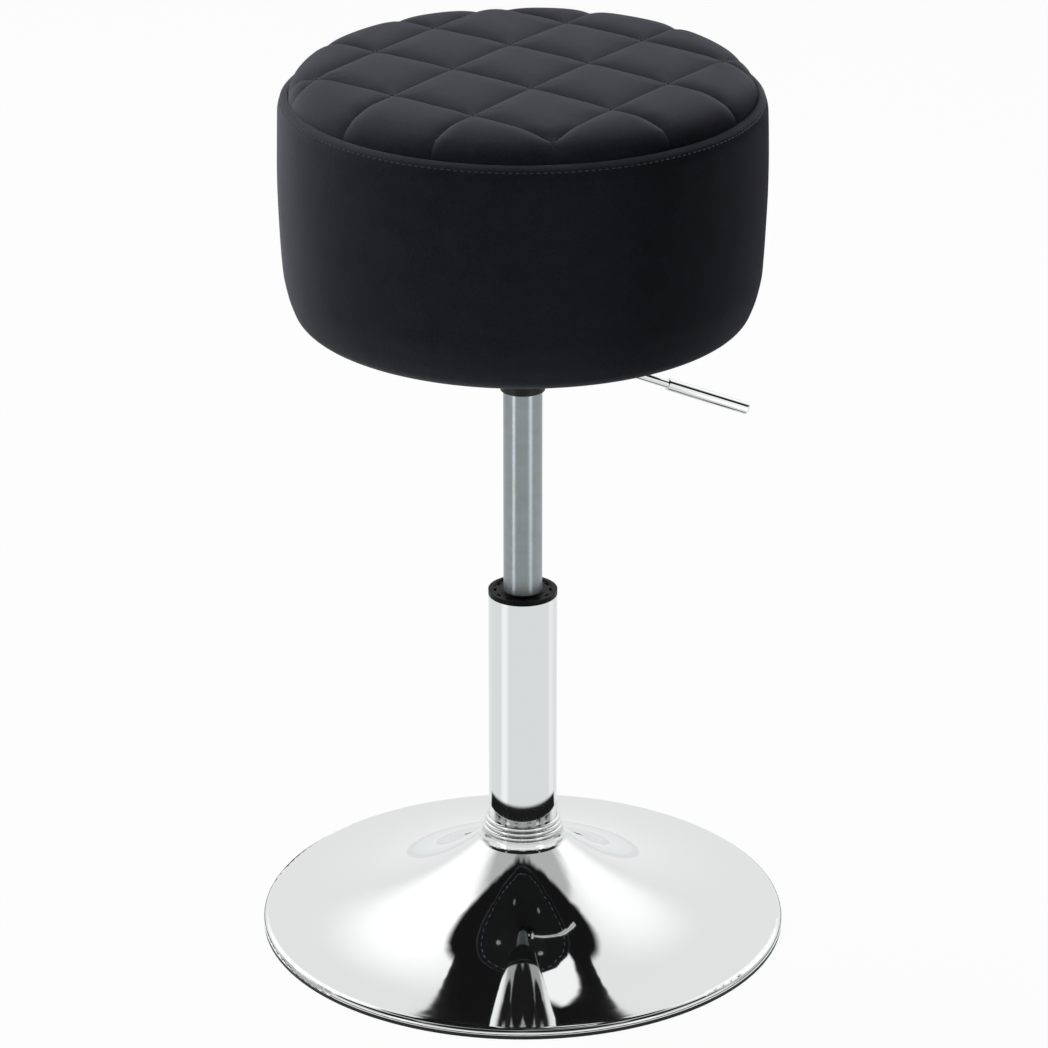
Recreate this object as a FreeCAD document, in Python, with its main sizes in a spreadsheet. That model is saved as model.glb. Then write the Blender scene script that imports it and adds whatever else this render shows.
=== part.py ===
import FreeCAD, Part
import os
import re
import Sketcher

# Swivel bar stool: chromed trumpet base, gas lift column, round quilted seat with a side lever.
# Millimetres, +Z up, origin on the floor below the column's axis, seat at the top of its travel.

# Driving sizes. A height is measured up from the floor, an angle is in degrees.
SIZES = {
    # Trumpet base, spun from sheet, with a rubber ring pressed under its rim
    "base_diameter": 385.0,
    "base_sheet": 1.5,
    "rim_corner_height": 7.6,
    "rim_fillet": 4.5,
    "rim_flat": 7.5,
    "neck_diameter": 60.0,
    "neck_straight": 5.6,
    "neck_fillet": 8.0,
    "neck_top": 74.0,
    "ring_height": 3.0,
    "ring_width": 11.0,
    "ring_lip": 1.5,
    "ring_setback": 0.3,
    # Pressed floor plate with a stiffening bead, ballast disc and the socket that grips the column
    "plate_sheet": 1.5,
    "plate_setback": 4.0,
    "plate_hole_diameter": 34.0,
    "bead_inner_diameter": 260.0,
    "bead_width": 16.0,
    "bead_rise": 2.0,
    "ballast_inner_diameter": 124.0,
    "ballast_gap": 8.0,
    "ballast_thickness": 6.0,
    "socket_flange_diameter": 92.0,
    "socket_flange_thickness": 3.0,
    # Column tube, swaged to a taper where it wedges into the socket, and its beaded trim collar
    "column_diameter": 50.0,
    "column_wall": 1.5,
    "column_foot": 12.0,
    "column_top": 260.6,
    "column_taper": 1.2,
    "collar_diameter": 59.0,
    "collar_bead_height": 3.4,
    "collar_bead_step": 1.0,
    "collar_bead_bulge": 1.1,
    # Guide bush in the mouth of the column
    "bush_flange_height": 3.6,
    "bush_length": 64.0,
    "bush_recess": 0.9,
    "bush_rim_width": 2.6,
    "bush_lip_width": 1.8,
    "bush_slot_diameter": 40.0,
    "bush_slot_width": 1.8,
    "bush_slot_depth": 14.0,
    "bush_slot_angle": 13.0,
    "bush_slot_count": 12,
    # Thrust bearing and rod foot on the column's end plate
    "end_plate_height": 20.0,
    "end_plate_thickness": 4.0,
    "race_outer_diameter": 24.0,
    "race_thickness": 1.2,
    "ball_diameter": 5.0,
    "ball_count": 9,
    "ball_circle_diameter": 17.4,
    "cage_thickness": 1.8,
    "rod_diameter": 10.0,
    "rod_shank_diameter": 8.0,
    "rod_foot": 14.0,
    "washer_thickness": 1.5,
    "washer_diameter": 18.0,
    "clip_thickness": 1.2,
    "clip_diameter": 14.0,
    "clip_groove_depth": 0.9,
    "clip_mouth_width": 5.0,
    "bump_stop_diameter": 21.0,
    "bump_stop_height": 15.0,
    # Gas cylinder and what it holds
    "cylinder_diameter": 28.0,
    "cylinder_wall": 1.6,
    "cylinder_foot": 190.0,
    "cylinder_lip": 3.4,
    "guide_height": 12.0,
    "seal_height": 4.0,
    "piston_gap": 1.0,
    "piston_height": 12.0,
    "piston_seal_depth": 1.7,
    "piston_seal_height": 3.0,
    "valve_height": 50.0,
    "valve_pin_diameter": 5.0,
    "valve_pin_length": 46.0,
    # Taper socket under the seat, its mounting plate and the lever's bracket
    "taper_socket_diameter": 32.0,
    "taper_socket_foot": 418.5,
    "taper_length": 24.5,
    "taper_reduction": 0.6,
    "lever_slot_width": 9.0,
    "lever_slot_foot": 441.0,
    "lever_slot_top": 464.0,
    "seat_plate_side": 160.0,
    "seat_plate_corner": 18.0,
    "seat_plate_sheet": 2.5,
    "bracket_sheet": 2.0,
    "bracket_start": 21.0,
    "bracket_end": 38.5,
    "bracket_inner_width": 15.0,
    "bracket_foot_radius": 7.0,
    # Lever, a straight rod that slopes down and out from above the valve
    "lever_azimuth": 13.0,
    "lever_slope": 22.0,
    "lever_axis_height": 456.0,
    "lever_rod_diameter": 6.0,
    "lever_inner_reach": 4.0,
    "lever_pivot_reach": 29.7,
    "lever_eye_diameter": 11.0,
    "lever_pin_diameter": 4.0,
    "lever_pin_head": 7.0,
    "lever_pin_head_height": 1.5,
    "handle_start": 106.6,
    "handle_diameter": 9.0,
    "handle_length": 64.4,
    "handle_bore_depth": 45.0,
    "handle_end_fillet": 2.0,
    # Fasteners between the mounting plate and the seat board
    "bolt_spacing": 120.0,
    "bolt_diameter": 6.0,
    "bolt_length": 15.0,
    "bolt_head_width": 11.0,
    "bolt_head_height": 4.0,
    "bolt_washer_diameter": 14.0,
    "bolt_washer_thickness": 1.4,
    "tee_nut_flange": 18.0,
    "tee_nut_flange_thickness": 1.5,
    "tee_nut_barrel": 8.0,
    "tee_nut_length": 11.0,
    # Upholstered seat
    "seat_foot": 476.0,
    "seat_foot_diameter": 316.0,
    "seat_heel_height": 500.0,
    "seat_heel_spread": 19.0,
    "seat_heel_fillet": 50.0,
    "seat_foot_fillet": 14.0,
    "seam_height": 641.0,
    "seam_spread": 4.6,
    "side_bulge": 2.4,
    "cover_thickness": 2.0,
    "board_setback": 12.0,
    "hem_overlap": 12.0,
    "board_thickness": 12.0,
    "pad_thickness": 7.0,
    "shoulder_tuck": 3.0,
    "shoulder_width": 32.0,
    "shoulder_rise": 18.0,
    "crown_rise": 2.0,
    # Quilting, two families of channels across the crown
    "quilt_channel_radius": 60.0,
    "quilt_channel_depth": 3.4,
    "quilt_depth_step": 0.3,
    "quilt_span": 178.0,
    "quilt_pitch_one": 69.6,
    "quilt_start_one": -104.9,
    "quilt_angle_one": -39.2,
    "quilt_pitch_two": 69.7,
    "quilt_start_two": -102.4,
    "quilt_angle_two": 55.6,
    # Clearances
    "slip_fit": 0.1,
    "soft_gap": 0.3,
    "bearing_play": 0.05,
}

# Beads of the trim collar, and channels in each family of the quilting
COLLAR_BEADS = 3
QUILT_CHANNELS = 4

# Sizes that follow from the driving ones
DERIVED = {
    "base_radius": "base_diameter / 2",
    "neck_radius": "neck_diameter / 2",
    "flare_start": "base_radius - rim_flat",
    "flare_run": "flare_start - neck_radius",
    "flare_rise": "neck_top - neck_straight - rim_corner_height",
    "flare_radius": "(flare_run ^ 2 + flare_rise ^ 2) / (2 * flare_rise)",
    "flare_centre": "rim_corner_height + flare_radius",
    "plate_radius": "base_radius - base_sheet - plate_setback",
    "floor_top": "ring_height + plate_sheet",
    "ballast_radius": "bead_inner_diameter / 2 - ballast_gap",
    "socket_radius": "neck_radius - base_sheet - soft_gap",
    "column_radius": "column_diameter / 2",
    "taper_rate": "column_taper / (neck_top - column_foot)",
    "end_plate_top": "end_plate_height + end_plate_thickness",
    "lower_race_top": "end_plate_top + race_thickness",
    "ball_height": "lower_race_top + bearing_play + ball_diameter / 2",
    "upper_race_foot": "ball_height + ball_diameter / 2 + bearing_play",
    "rod_shoulder": "upper_race_foot + race_thickness",
    "shank_radius": "rod_shank_diameter / 2",
    "rod_radius": "rod_diameter / 2",
    "washer_top": "end_plate_height - soft_gap",
    "clip_top": "washer_top - washer_thickness",
    "cylinder_radius": "cylinder_diameter / 2",
    "cylinder_bore": "cylinder_radius - cylinder_wall",
    "cylinder_top": "taper_socket_foot + taper_length",
    "guide_top": "cylinder_foot + guide_height",
    "seal_top": "guide_top + seal_height",
    "piston_foot": "seal_top + piston_gap",
    "piston_top": "piston_foot + piston_height",
    "valve_top": "cylinder_top - cylinder_wall",
    "pin_radius": "valve_pin_diameter / 2",
    "pin_top": "lever_axis_height + pin_radius"
               " - (lever_rod_diameter / 2 + pin_radius + slip_fit) / cos(lever_slope)",
    "seat_plate_foot": "seat_foot - seat_plate_sheet",
    "pivot_height": "lever_axis_height - lever_pivot_reach * tan(lever_slope)",
    "bracket_width": "bracket_inner_width + 2 * bracket_sheet",
    "board_radius": "seat_foot_diameter / 2 - board_setback",
    "hem_radius": "board_radius - hem_overlap",
    "board_foot": "seat_foot + cover_thickness",
    "board_top": "board_foot + board_thickness",
    "seat_heel_diameter": "seat_foot_diameter + seat_heel_spread",
    "seam_diameter": "seat_heel_diameter + seam_spread",
    "heel_slope": "atan((seat_heel_diameter - seat_foot_diameter) / 2 / (seat_heel_height - seat_foot))",
    "pad_foot": "seam_height - pad_thickness",
    "pad_radius": "seam_diameter / 2 - cover_thickness - soft_gap",
    "shoulder_foot": "seam_height - shoulder_tuck",
    "shoulder_top": "shoulder_foot + shoulder_rise",
    "shoulder_radius": "(shoulder_width ^ 2 + shoulder_rise ^ 2) / (2 * shoulder_rise)",
    "crown_edge": "pad_radius - shoulder_width",
    "crown_radius": "(crown_edge ^ 2 + crown_rise ^ 2) / (2 * crown_rise)",
    "crown_centre": "shoulder_top + crown_rise - crown_radius",
}

NAME_PATTERN = re.compile(r"\b(" + "|".join([*SIZES, *DERIVED]) + r")\b")

doc = FreeCAD.newDocument("SwivelBarStool")
sheet = doc.addObject("Spreadsheet::Sheet", "Sizes")
cells = {**{name: str(number) for name, number in SIZES.items()},
         **{name: "=" + formula for name, formula in DERIVED.items()}}
for row, (name, content) in enumerate(cells.items(), start=1):
    sheet.set(f"A{row}", name)
    sheet.set(f"B{row}", content)
    sheet.setAlias(f"B{row}", name)
doc.recompute()

nodes = []


def size(formula):
    """The present value of a formula in named sizes."""
    return float(getattr(sheet.evalExpression(formula), "Value", sheet.evalExpression(formula)))


def bind(thing, prop, formula):
    """Tie a property to a formula in named sizes."""
    thing.setExpression(prop, NAME_PATTERN.sub(r"Sizes.\1", formula))


def keep(label, thing):
    """Name a finished piece and list it for writing."""
    thing.Label = label
    nodes.append(thing)


def lever_frame(along, across, height, turn="rotationz(0)"):
    """A placement measured along and across the lever, which points out at its azimuth."""
    x = f"({along}) * cos(lever_azimuth) - ({across}) * sin(lever_azimuth)"
    y = f"({along}) * sin(lever_azimuth) + ({across}) * cos(lever_azimuth)"
    return f"placement(vector({x}; {y}; {height}); rotationz(lever_azimuth) * {turn})"


def sagitta(radius, run, rise):
    """How far an arc of that radius stands off its chord, by the chord's run and rise."""
    return f"{radius} - sqrt({radius} ^ 2 - ({run} ^ 2 + {rise} ^ 2) / 4)"


def origin_plane(body, role):
    """One of a body's own origin planes."""
    return next(feature for feature in body.Origin.OriginFeatures if feature.Role == role)


def outline_sketch(body, outline, role="XZ_Plane"):
    """A closed sketch. A corner is (x, y), or (x, y, bulge) where the stretch that ends there is an arc
    that bows by bulge to the right of the way it is drawn."""
    sketch = body.newObject("Sketcher::SketchObject", "Outline")
    sketch.AttachmentSupport = [(origin_plane(body, role), "")]
    sketch.MapMode = "FlatFace"
    corners = [FreeCAD.Vector(size(item[0]), size(item[1]), 0) for item in outline]
    starts, ends = [], []
    for index, item in enumerate(outline):
        start, end = corners[index - 1], corners[index]
        if len(item) == 3:
            side = FreeCAD.Vector(end.y - start.y, start.x - end.x, 0).normalize()
            curve = Part.Arc(start, (start + end) * 0.5 + side * size(item[2]), end)
        else:
            curve = Part.LineSegment(start, end)
        edge = sketch.addGeometry(curve, False)
        drawn_forward = sketch.getPoint(edge, 1).distanceToPoint(start) < 1e-6
        starts.append((edge, 1 if drawn_forward else 2))
        ends.append((edge, 2 if drawn_forward else 1))
    for index, item in enumerate(outline):
        following = starts[(index + 1) % len(outline)]
        sketch.addConstraint(Sketcher.Constraint("Coincident", *ends[index], *following))
        pin_point(sketch, ends[index], item[0], item[1])
        if len(item) == 3:
            before = outline[index - 1]
            chord = f"((({item[0]}) - ({before[0]})) ^ 2 + (({item[1]}) - ({before[1]})) ^ 2)"
            radius = f"abs({chord} / 8 / ({item[2]}) + ({item[2]}) / 2)"
            pin_size(sketch, Sketcher.Constraint("Radius", ends[index][0], size(radius)), radius)
    return sketch


def pin_size(sketch, constraint, formula):
    """Add a dimension to a sketch and tie it to a formula."""
    index = sketch.addConstraint(constraint)
    bind(sketch, f"Constraints[{index}]", formula)


def pin_point(sketch, point, x, y):
    """Dimension a sketch point from the origin, or lay it on an axis."""
    for kind, formula, axis in (("DistanceX", x, -2), ("DistanceY", y, -1)):
        distance = size(formula)
        if abs(distance) < 1e-9:
            sketch.addConstraint(Sketcher.Constraint("PointOnObject", *point, axis))
        else:
            pin_size(sketch, Sketcher.Constraint(kind, -1, 1, *point, distance), formula)


def circle_sketch(body, x, y, diameter, role):
    """A sketch of one circle on an origin plane."""
    sketch = body.newObject("Sketcher::SketchObject", "Circle")
    sketch.AttachmentSupport = [(origin_plane(body, role), "")]
    sketch.MapMode = "FlatFace"
    centre = FreeCAD.Vector(size(x), size(y), 0)
    edge = sketch.addGeometry(Part.Circle(centre, FreeCAD.Vector(0, 0, 1), size(diameter) / 2), False)
    pin_point(sketch, (edge, 3), x, y)
    pin_size(sketch, Sketcher.Constraint("Diameter", edge, size(diameter)), diameter)
    return sketch


def turned(outline):
    """A body revolved from a half section drawn as (radius, height) corners, anticlockwise."""
    body = doc.addObject("PartDesign::Body", "Turned")
    sketch = outline_sketch(body, outline)
    revolution = body.newObject("PartDesign::Revolution", "Revolution")
    revolution.Profile = sketch
    revolution.ReferenceAxis = (sketch, ["V_Axis"])
    doc.recompute()
    return body


def tube(inner, outer, foot, top):
    """A plain round tube or ring, by its radii and its end heights."""
    return turned([(inner, foot), (outer, foot), (outer, top), (inner, top)])


def round_corner(body, radius, height, fillet):
    """Round the circular edge of a revolved body at a given radius and height."""
    base = body.Tip
    wanted = []
    for number, edge in enumerate(base.Shape.Edges, start=1):
        box = edge.BoundBox
        level = box.ZLength < 1e-6 and abs(box.ZMin - size(height)) < 1e-4
        if level and abs(box.XLength / 2 - size(radius)) < 1e-3:
            wanted.append(f"Edge{number}")
    feature = body.newObject("PartDesign::Fillet", "Fillet")
    feature.Base = (base, wanted)
    bind(feature, "Radius", fillet)
    doc.recompute()


def plate_feature(body, kind, sketch, width):
    """A pad or a pocket that reaches equally to both sides of its sketch."""
    feature = body.newObject(f"PartDesign::{kind}", kind)
    feature.Profile = sketch
    feature.SideType = "Symmetric"
    bind(feature, "Length", width)
    doc.recompute()
    return feature


def polar_pattern(body, feature, sketch, axis, count):
    """Repeat a feature evenly round an axis of its sketch."""
    pattern = body.newObject("PartDesign::PolarPattern", "PolarPattern")
    pattern.Originals = [feature]
    pattern.Axis = (sketch, [axis])
    pattern.Angle = 360
    bind(pattern, "Occurrences", count)
    body.Tip = pattern
    doc.recompute()


def cylinder(radius, length, place):
    """A plain cylinder along its own Z, set down by a placement formula."""
    solid = doc.addObject("Part::Cylinder", "Cylinder")
    bind(solid, "Radius", radius)
    bind(solid, "Height", length)
    bind(solid, "Placement", place)
    return solid


def box(length, width, height, place):
    """A plain box from its own corner, set down by a placement formula."""
    solid = doc.addObject("Part::Box", "Box")
    bind(solid, "Length", length)
    bind(solid, "Width", width)
    bind(solid, "Height", height)
    bind(solid, "Placement", place)
    return solid


def upright(radius, foot, top):
    """A cylinder on the stool's axis between two heights."""
    return cylinder(radius, f"({top}) - ({foot})", f"placement(vector(0; 0; {foot}); rotationz(0))")


def cut(base, *tools):
    """Take tools away from a base one after another."""
    for tool in tools:
        result = doc.addObject("Part::Cut", "Cut")
        result.Base = base
        result.Tool = tool
        base = result
    return base


def joined(*solids):
    """Fuse solids into one."""
    result = doc.addObject("Part::MultiFuse", "Fusion")
    result.Shapes = list(solids)
    return result


def group(solids):
    """Keep like solids together as one piece list."""
    result = doc.addObject("Part::Compound", "Group")
    result.Links = list(solids)
    return result


def trumpet(inset):
    """The base's outer form, drawn in by inset along its whole wall."""
    bend = f"(flare_radius + ({inset}))"
    run = f"(flare_run + ({inset}))"
    rim = (f"base_radius - ({inset})", f"rim_corner_height - ({inset})")
    neck = (f"neck_radius - ({inset})", f"flare_centre - sqrt({bend} ^ 2 - {run} ^ 2)")
    rise = f"({neck[1]} - rim_corner_height + ({inset}))"
    body = turned([("0", "ring_height"), (rim[0], "ring_height"), rim, ("flare_start", rim[1]),
                   (*neck, f"-({sagitta(bend, run, rise)})"), (neck[0], "neck_top"), ("0", "neck_top")])
    round_corner(body, *neck, f"neck_fillet + ({inset})")
    round_corner(body, *rim, f"rim_fillet - ({inset})")
    return body


def build_base():
    """Trumpet shell, rubber ring, floor plate, ballast and column socket."""
    keep("base_shell", cut(trumpet("0"), trumpet("base_sheet")))
    outer = "base_radius - ring_setback"
    inner = "base_radius - ring_width"
    lip_outer = "base_radius - base_sheet - soft_gap"
    lip_inner = "plate_radius + soft_gap"
    lip_top = "ring_height + ring_lip"
    keep("floor_ring", turned([
        (inner, "0"), (outer, "0"), (outer, "ring_height"), (lip_outer, "ring_height"), (lip_outer, lip_top),
        (lip_inner, lip_top), (lip_inner, "ring_height"), (inner, "ring_height")]))
    bead_start = "bead_inner_diameter / 2"
    bead_end = "bead_inner_diameter / 2 + bead_width"
    bead_top = "ring_height + bead_rise"
    under = [("plate_hole_diameter / 2", "ring_height"), (bead_start, "ring_height"),
             (f"{bead_start} + bead_rise", bead_top), (f"{bead_end} - bead_rise", bead_top),
             (bead_end, "ring_height"), ("plate_radius", "ring_height")]
    over = [(radius, f"{height} + plate_sheet") for radius, height in reversed(under)]
    keep("base_plate", turned(under + over))
    keep("ballast_disc", tube("ballast_inner_diameter / 2", "ballast_radius",
                              "floor_top", "floor_top + ballast_thickness"))
    bore_foot = "column_radius - column_taper - taper_rate * (column_foot - floor_top) + slip_fit"
    flange_top = "floor_top + socket_flange_thickness"
    keep("column_socket", turned([
        (bore_foot, "floor_top"), ("socket_flange_diameter / 2", "floor_top"),
        ("socket_flange_diameter / 2", flange_top), ("socket_radius", flange_top),
        ("socket_radius", "neck_top"), ("column_radius + slip_fit", "neck_top")]))


def build_column():
    """Column tube, trim collar, guide bush, end plate and lower bearing race."""
    foot_radius = "column_radius - column_taper"
    inside = "column_radius - column_wall"
    keep("column_tube", turned([
        (f"{foot_radius} - column_wall", "column_foot"), (foot_radius, "column_foot"),
        ("column_radius", "neck_top"), ("column_radius", "column_top"),
        (inside, "column_top"), (inside, "neck_top")]))
    collar = [("column_radius + slip_fit", "neck_top")]
    for bead in range(COLLAR_BEADS):
        waist = f"collar_diameter / 2 - collar_bead_bulge - {bead} * collar_bead_step"
        collar.append((waist, f"neck_top + {bead} * collar_bead_height"))
        collar.append((waist, f"neck_top + {bead + 1} * collar_bead_height", "collar_bead_bulge"))
    collar.append(("column_radius + slip_fit", f"neck_top + {COLLAR_BEADS} * collar_bead_height"))
    keep("column_collar", turned(collar))
    keep("guide_bush", guide_bush())
    plate_radius = f"{foot_radius} - column_wall + taper_rate * (end_plate_height - column_foot)"
    keep("column_end_plate", tube("shank_radius + soft_gap", plate_radius,
                                  "end_plate_height", "end_plate_top"))
    keep("lower_race", tube("rod_radius + soft_gap", "race_outer_diameter / 2",
                            "end_plate_top", "lower_race_top"))


def guide_bush():
    """Moulded guide bush: a flange with a ring of slots, a wiper lip and a long sleeve."""
    bore = "cylinder_radius + slip_fit"
    sleeve = "column_radius - column_wall - slip_fit"
    foot = "column_top - bush_length"
    top = "column_top + bush_flange_height"
    body = turned([
        (bore, foot), (sleeve, foot), (sleeve, "column_top"), ("column_radius", "column_top"),
        ("column_radius", top), ("column_radius - bush_rim_width", top),
        ("column_radius - bush_rim_width - bush_recess", f"{top} - bush_recess"),
        (f"{bore} + bush_lip_width + bush_recess", f"{top} - bush_recess"),
        (f"{bore} + bush_lip_width", top), (bore, top)])
    inner = "bush_slot_diameter / 2 - bush_slot_width / 2"
    outer = "bush_slot_diameter / 2 + bush_slot_width / 2"
    slot_foot = f"{top} - bush_slot_depth"
    sketch = outline_sketch(body, [(inner, slot_foot), (outer, slot_foot), (outer, top), (inner, top)])
    slot = body.newObject("PartDesign::Groove", "Slot")
    slot.Profile = sketch
    slot.ReferenceAxis = (sketch, ["V_Axis"])
    slot.Midplane = True
    bind(slot, "Angle", "bush_slot_angle")
    doc.recompute()
    polar_pattern(body, slot, sketch, "V_Axis", "bush_slot_count")
    return body


def build_bearing():
    """Bearing balls in their cage, between the two races."""
    cage = tube("rod_radius + soft_gap", "race_outer_diameter / 2",
                "ball_height - cage_thickness / 2", "ball_height + cage_thickness / 2")
    ring = "ball_circle_diameter / 2"
    hole = circle_sketch(cage, ring, "0", "ball_diameter + 2 * slip_fit", "XY_Plane")
    pocket = plate_feature(cage, "Pocket", hole, "4 * ball_height")
    polar_pattern(cage, pocket, hole, "N_Axis", "ball_count")
    keep("bearing_cage", cage)
    balls = []
    for number in range(int(size("ball_count"))):
        angle = f"{number} * 360 / ball_count"
        ball = doc.addObject("Part::Sphere", "Ball")
        bind(ball, "Radius", "ball_diameter / 2")
        bind(ball, "Placement",
             f"placement(vector({ring} * cos({angle}); {ring} * sin({angle}); ball_height); rotationz(0))")
        balls.append(ball)
    keep("bearing_balls", group(balls))


def build_rod():
    """Piston rod and everything that turns with it."""
    keep("upper_race", tube("shank_radius + slip_fit", "race_outer_diameter / 2",
                            "upper_race_foot", "rod_shoulder"))
    groove = "shank_radius - clip_groove_depth"
    clip_foot = "clip_top - clip_thickness"
    keep("piston_rod", turned([
        ("0", "rod_foot"), ("shank_radius", "rod_foot"), ("shank_radius", clip_foot), (groove, clip_foot),
        (groove, "clip_top"), ("shank_radius", "clip_top"), ("shank_radius", "rod_shoulder"),
        ("rod_radius", "rod_shoulder"), ("rod_radius", "piston_foot"), ("shank_radius", "piston_foot"),
        ("shank_radius", "piston_top"), ("0", "piston_top")]))
    keep("rod_washer", tube("shank_radius + slip_fit", "washer_diameter / 2", "clip_top", "washer_top"))
    mouth = box("clip_diameter", "clip_mouth_width", "clip_thickness",
                f"placement(vector(0; -clip_mouth_width / 2; {clip_foot}); rotationz(0))")
    keep("rod_clip", cut(tube(f"{groove} + slip_fit", "clip_diameter / 2", clip_foot, "clip_top"), mouth))
    keep("bump_stop", tube("rod_radius + soft_gap", "bump_stop_diameter / 2",
                           "rod_shoulder", "rod_shoulder + bump_stop_height"))
    skirt = "cylinder_bore - slip_fit"
    seat = f"{skirt} - piston_seal_depth"
    seal_foot = "piston_foot + (piston_height - piston_seal_height) / 2"
    seal_head = "piston_top - (piston_height - piston_seal_height) / 2"
    bore = "shank_radius + slip_fit"
    keep("piston", turned([
        (bore, "piston_foot"), (skirt, "piston_foot"), (skirt, seal_foot), (seat, seal_foot),
        (seat, seal_head), (skirt, seal_head), (skirt, "piston_top"), (bore, "piston_top")]))
    keep("piston_seal", tube(seat, "cylinder_bore - bearing_play", seal_foot, seal_head))


def build_gas_cylinder():
    """Gas cylinder with its rod guide, seal, valve plug and valve pin."""
    lip = "cylinder_bore - cylinder_lip"
    keep("gas_cylinder", turned([
        ("cylinder_bore", "cylinder_foot"), ("cylinder_radius", "cylinder_foot"),
        ("cylinder_radius", "taper_socket_foot"), ("cylinder_radius - taper_reduction", "cylinder_top"),
        (lip, "cylinder_top"), (lip, "valve_top"), ("cylinder_bore", "valve_top")]))
    keep("rod_guide", tube("rod_radius + slip_fit", "cylinder_bore", "cylinder_foot", "guide_top"))
    keep("rod_seal", tube("rod_radius + bearing_play", "cylinder_bore", "guide_top", "seal_top"))
    keep("valve_plug", tube("pin_radius + bearing_play", "cylinder_bore",
                            "valve_top - valve_height", "valve_top"))
    pin_foot = "pin_top - valve_pin_length"
    keep("valve_pin", turned([
        ("0", pin_foot), ("pin_radius", pin_foot), ("pin_radius", "pin_top - pin_radius"),
        ("0", "pin_top", "pin_radius * (1 - sqrt(0.5))")]))


def build_mount():
    """Taper socket and mounting plate, square to the lever."""
    fit = "cylinder_radius + slip_fit"
    socket = turned([
        (fit, "taper_socket_foot"), ("taper_socket_diameter / 2", "taper_socket_foot"),
        ("taper_socket_diameter / 2", "seat_plate_foot"), (f"{fit} - taper_reduction", "seat_plate_foot"),
        (f"{fit} - taper_reduction", "cylinder_top")])
    slot = box("taper_socket_diameter", "lever_slot_width", "lever_slot_top - lever_slot_foot",
               lever_frame("0", "-lever_slot_width / 2", "lever_slot_foot"))
    keep("taper_socket", cut(socket, slot))
    blank = box("seat_plate_side", "seat_plate_side", "seat_plate_sheet",
                lever_frame("-seat_plate_side / 2", "-seat_plate_side / 2", "seat_plate_foot"))
    doc.recompute()
    rounded = doc.addObject("Part::Fillet", "PlateCorners")
    rounded.Base = blank
    corner = size("seat_plate_corner")
    rounded.Edges = [(number, corner, corner) for number, edge in enumerate(blank.Shape.Edges, start=1)
                     if edge.BoundBox.ZLength > size("seat_plate_sheet") / 2]
    holes = bolt_holes("bolt_diameter / 2 + soft_gap", "seat_plate_foot", "seat_foot")
    keep("seat_plate", cut(rounded, *holes))


def build_lever_bracket():
    """Folded bracket with two ears, and the pivot pin through them."""
    bracket = doc.addObject("PartDesign::Body", "Bracket")
    foot = "pivot_height - bracket_foot_radius"
    web = "seat_plate_foot - bracket_sheet"
    ears = outline_sketch(bracket, [
        ("bracket_start", "pivot_height"), ("lever_pivot_reach - bracket_foot_radius", foot),
        ("lever_pivot_reach + bracket_foot_radius", foot), ("bracket_end", "pivot_height"),
        ("bracket_end", "seat_plate_foot"), ("bracket_start", "seat_plate_foot")])
    plate_feature(bracket, "Pad", ears, "bracket_width")
    channel = outline_sketch(bracket, [("bracket_start", foot), ("bracket_end", foot),
                                       ("bracket_end", web), ("bracket_start", web)])
    plate_feature(bracket, "Pocket", channel, "bracket_inner_width")
    hole = circle_sketch(bracket, "lever_pivot_reach", "pivot_height", "lever_pin_diameter + 2 * slip_fit",
                         "XZ_Plane")
    plate_feature(bracket, "Pocket", hole, "2 * bracket_width")
    bind(bracket, "Placement", "placement(vector(0; 0; 0); rotationz(lever_azimuth))")
    keep("lever_bracket", bracket)

    reach = "bracket_width / 2 + lever_pin_head_height"
    pin = cylinder("lever_pin_diameter / 2", f"2 * ({reach})", pivot_frame(reach))
    heads = [cylinder("lever_pin_head / 2", "lever_pin_head_height", pivot_frame(start))
             for start in (reach, "-bracket_width / 2")]
    keep("lever_pivot_pin", joined(pin, *heads))


def pivot_frame(start):
    """A placement on the lever's pivot, for a cylinder that starts there across the lever and runs back."""
    return lever_frame("lever_pivot_reach", start, "pivot_height", "rotationx(90)")


def build_lever():
    """Lever rod with its pivot eye, and the handle sleeve on its end."""
    along = "rotationy(90 + lever_slope)"
    rod_end = "handle_start + (handle_bore_depth - soft_gap) * cos(lever_slope)"
    rod = cylinder("lever_rod_diameter / 2", f"({rod_end} + lever_inner_reach) / cos(lever_slope)",
                   lever_frame("-lever_inner_reach", "0",
                               "lever_axis_height + lever_inner_reach * tan(lever_slope)", along))
    eye_half = "bracket_inner_width / 2 - soft_gap"
    eye = cylinder("lever_eye_diameter / 2", f"2 * ({eye_half})", pivot_frame(eye_half))
    hole = cylinder("lever_pin_diameter / 2 + slip_fit", f"2 * ({eye_half})", pivot_frame(eye_half))
    keep("lever_rod", cut(joined(rod, eye), hole))

    bore = "lever_rod_diameter / 2 + bearing_play"
    handle = turned([
        ("0", "handle_bore_depth"), (bore, "handle_bore_depth"), (bore, "0"), ("handle_diameter / 2", "0"),
        ("handle_diameter / 2", "handle_length"), ("0", "handle_length")])
    round_corner(handle, "handle_diameter / 2", "handle_length", "handle_end_fillet")
    bind(handle, "Placement",
         lever_frame("handle_start", "0", "lever_axis_height - handle_start * tan(lever_slope)", along))
    keep("lever_handle", handle)


def bolt_places():
    """The four bolts' places along and across the lever."""
    near, far = "-bolt_spacing / 2", "bolt_spacing / 2"
    return [(near, near), (far, near), (far, far), (near, far)]


def bolt_holes(radius, foot, top):
    """A cutting cylinder between two heights at each of the bolts' places."""
    return [cylinder(radius, f"({top}) - ({foot})", lever_frame(x, y, foot)) for x, y in bolt_places()]


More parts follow.
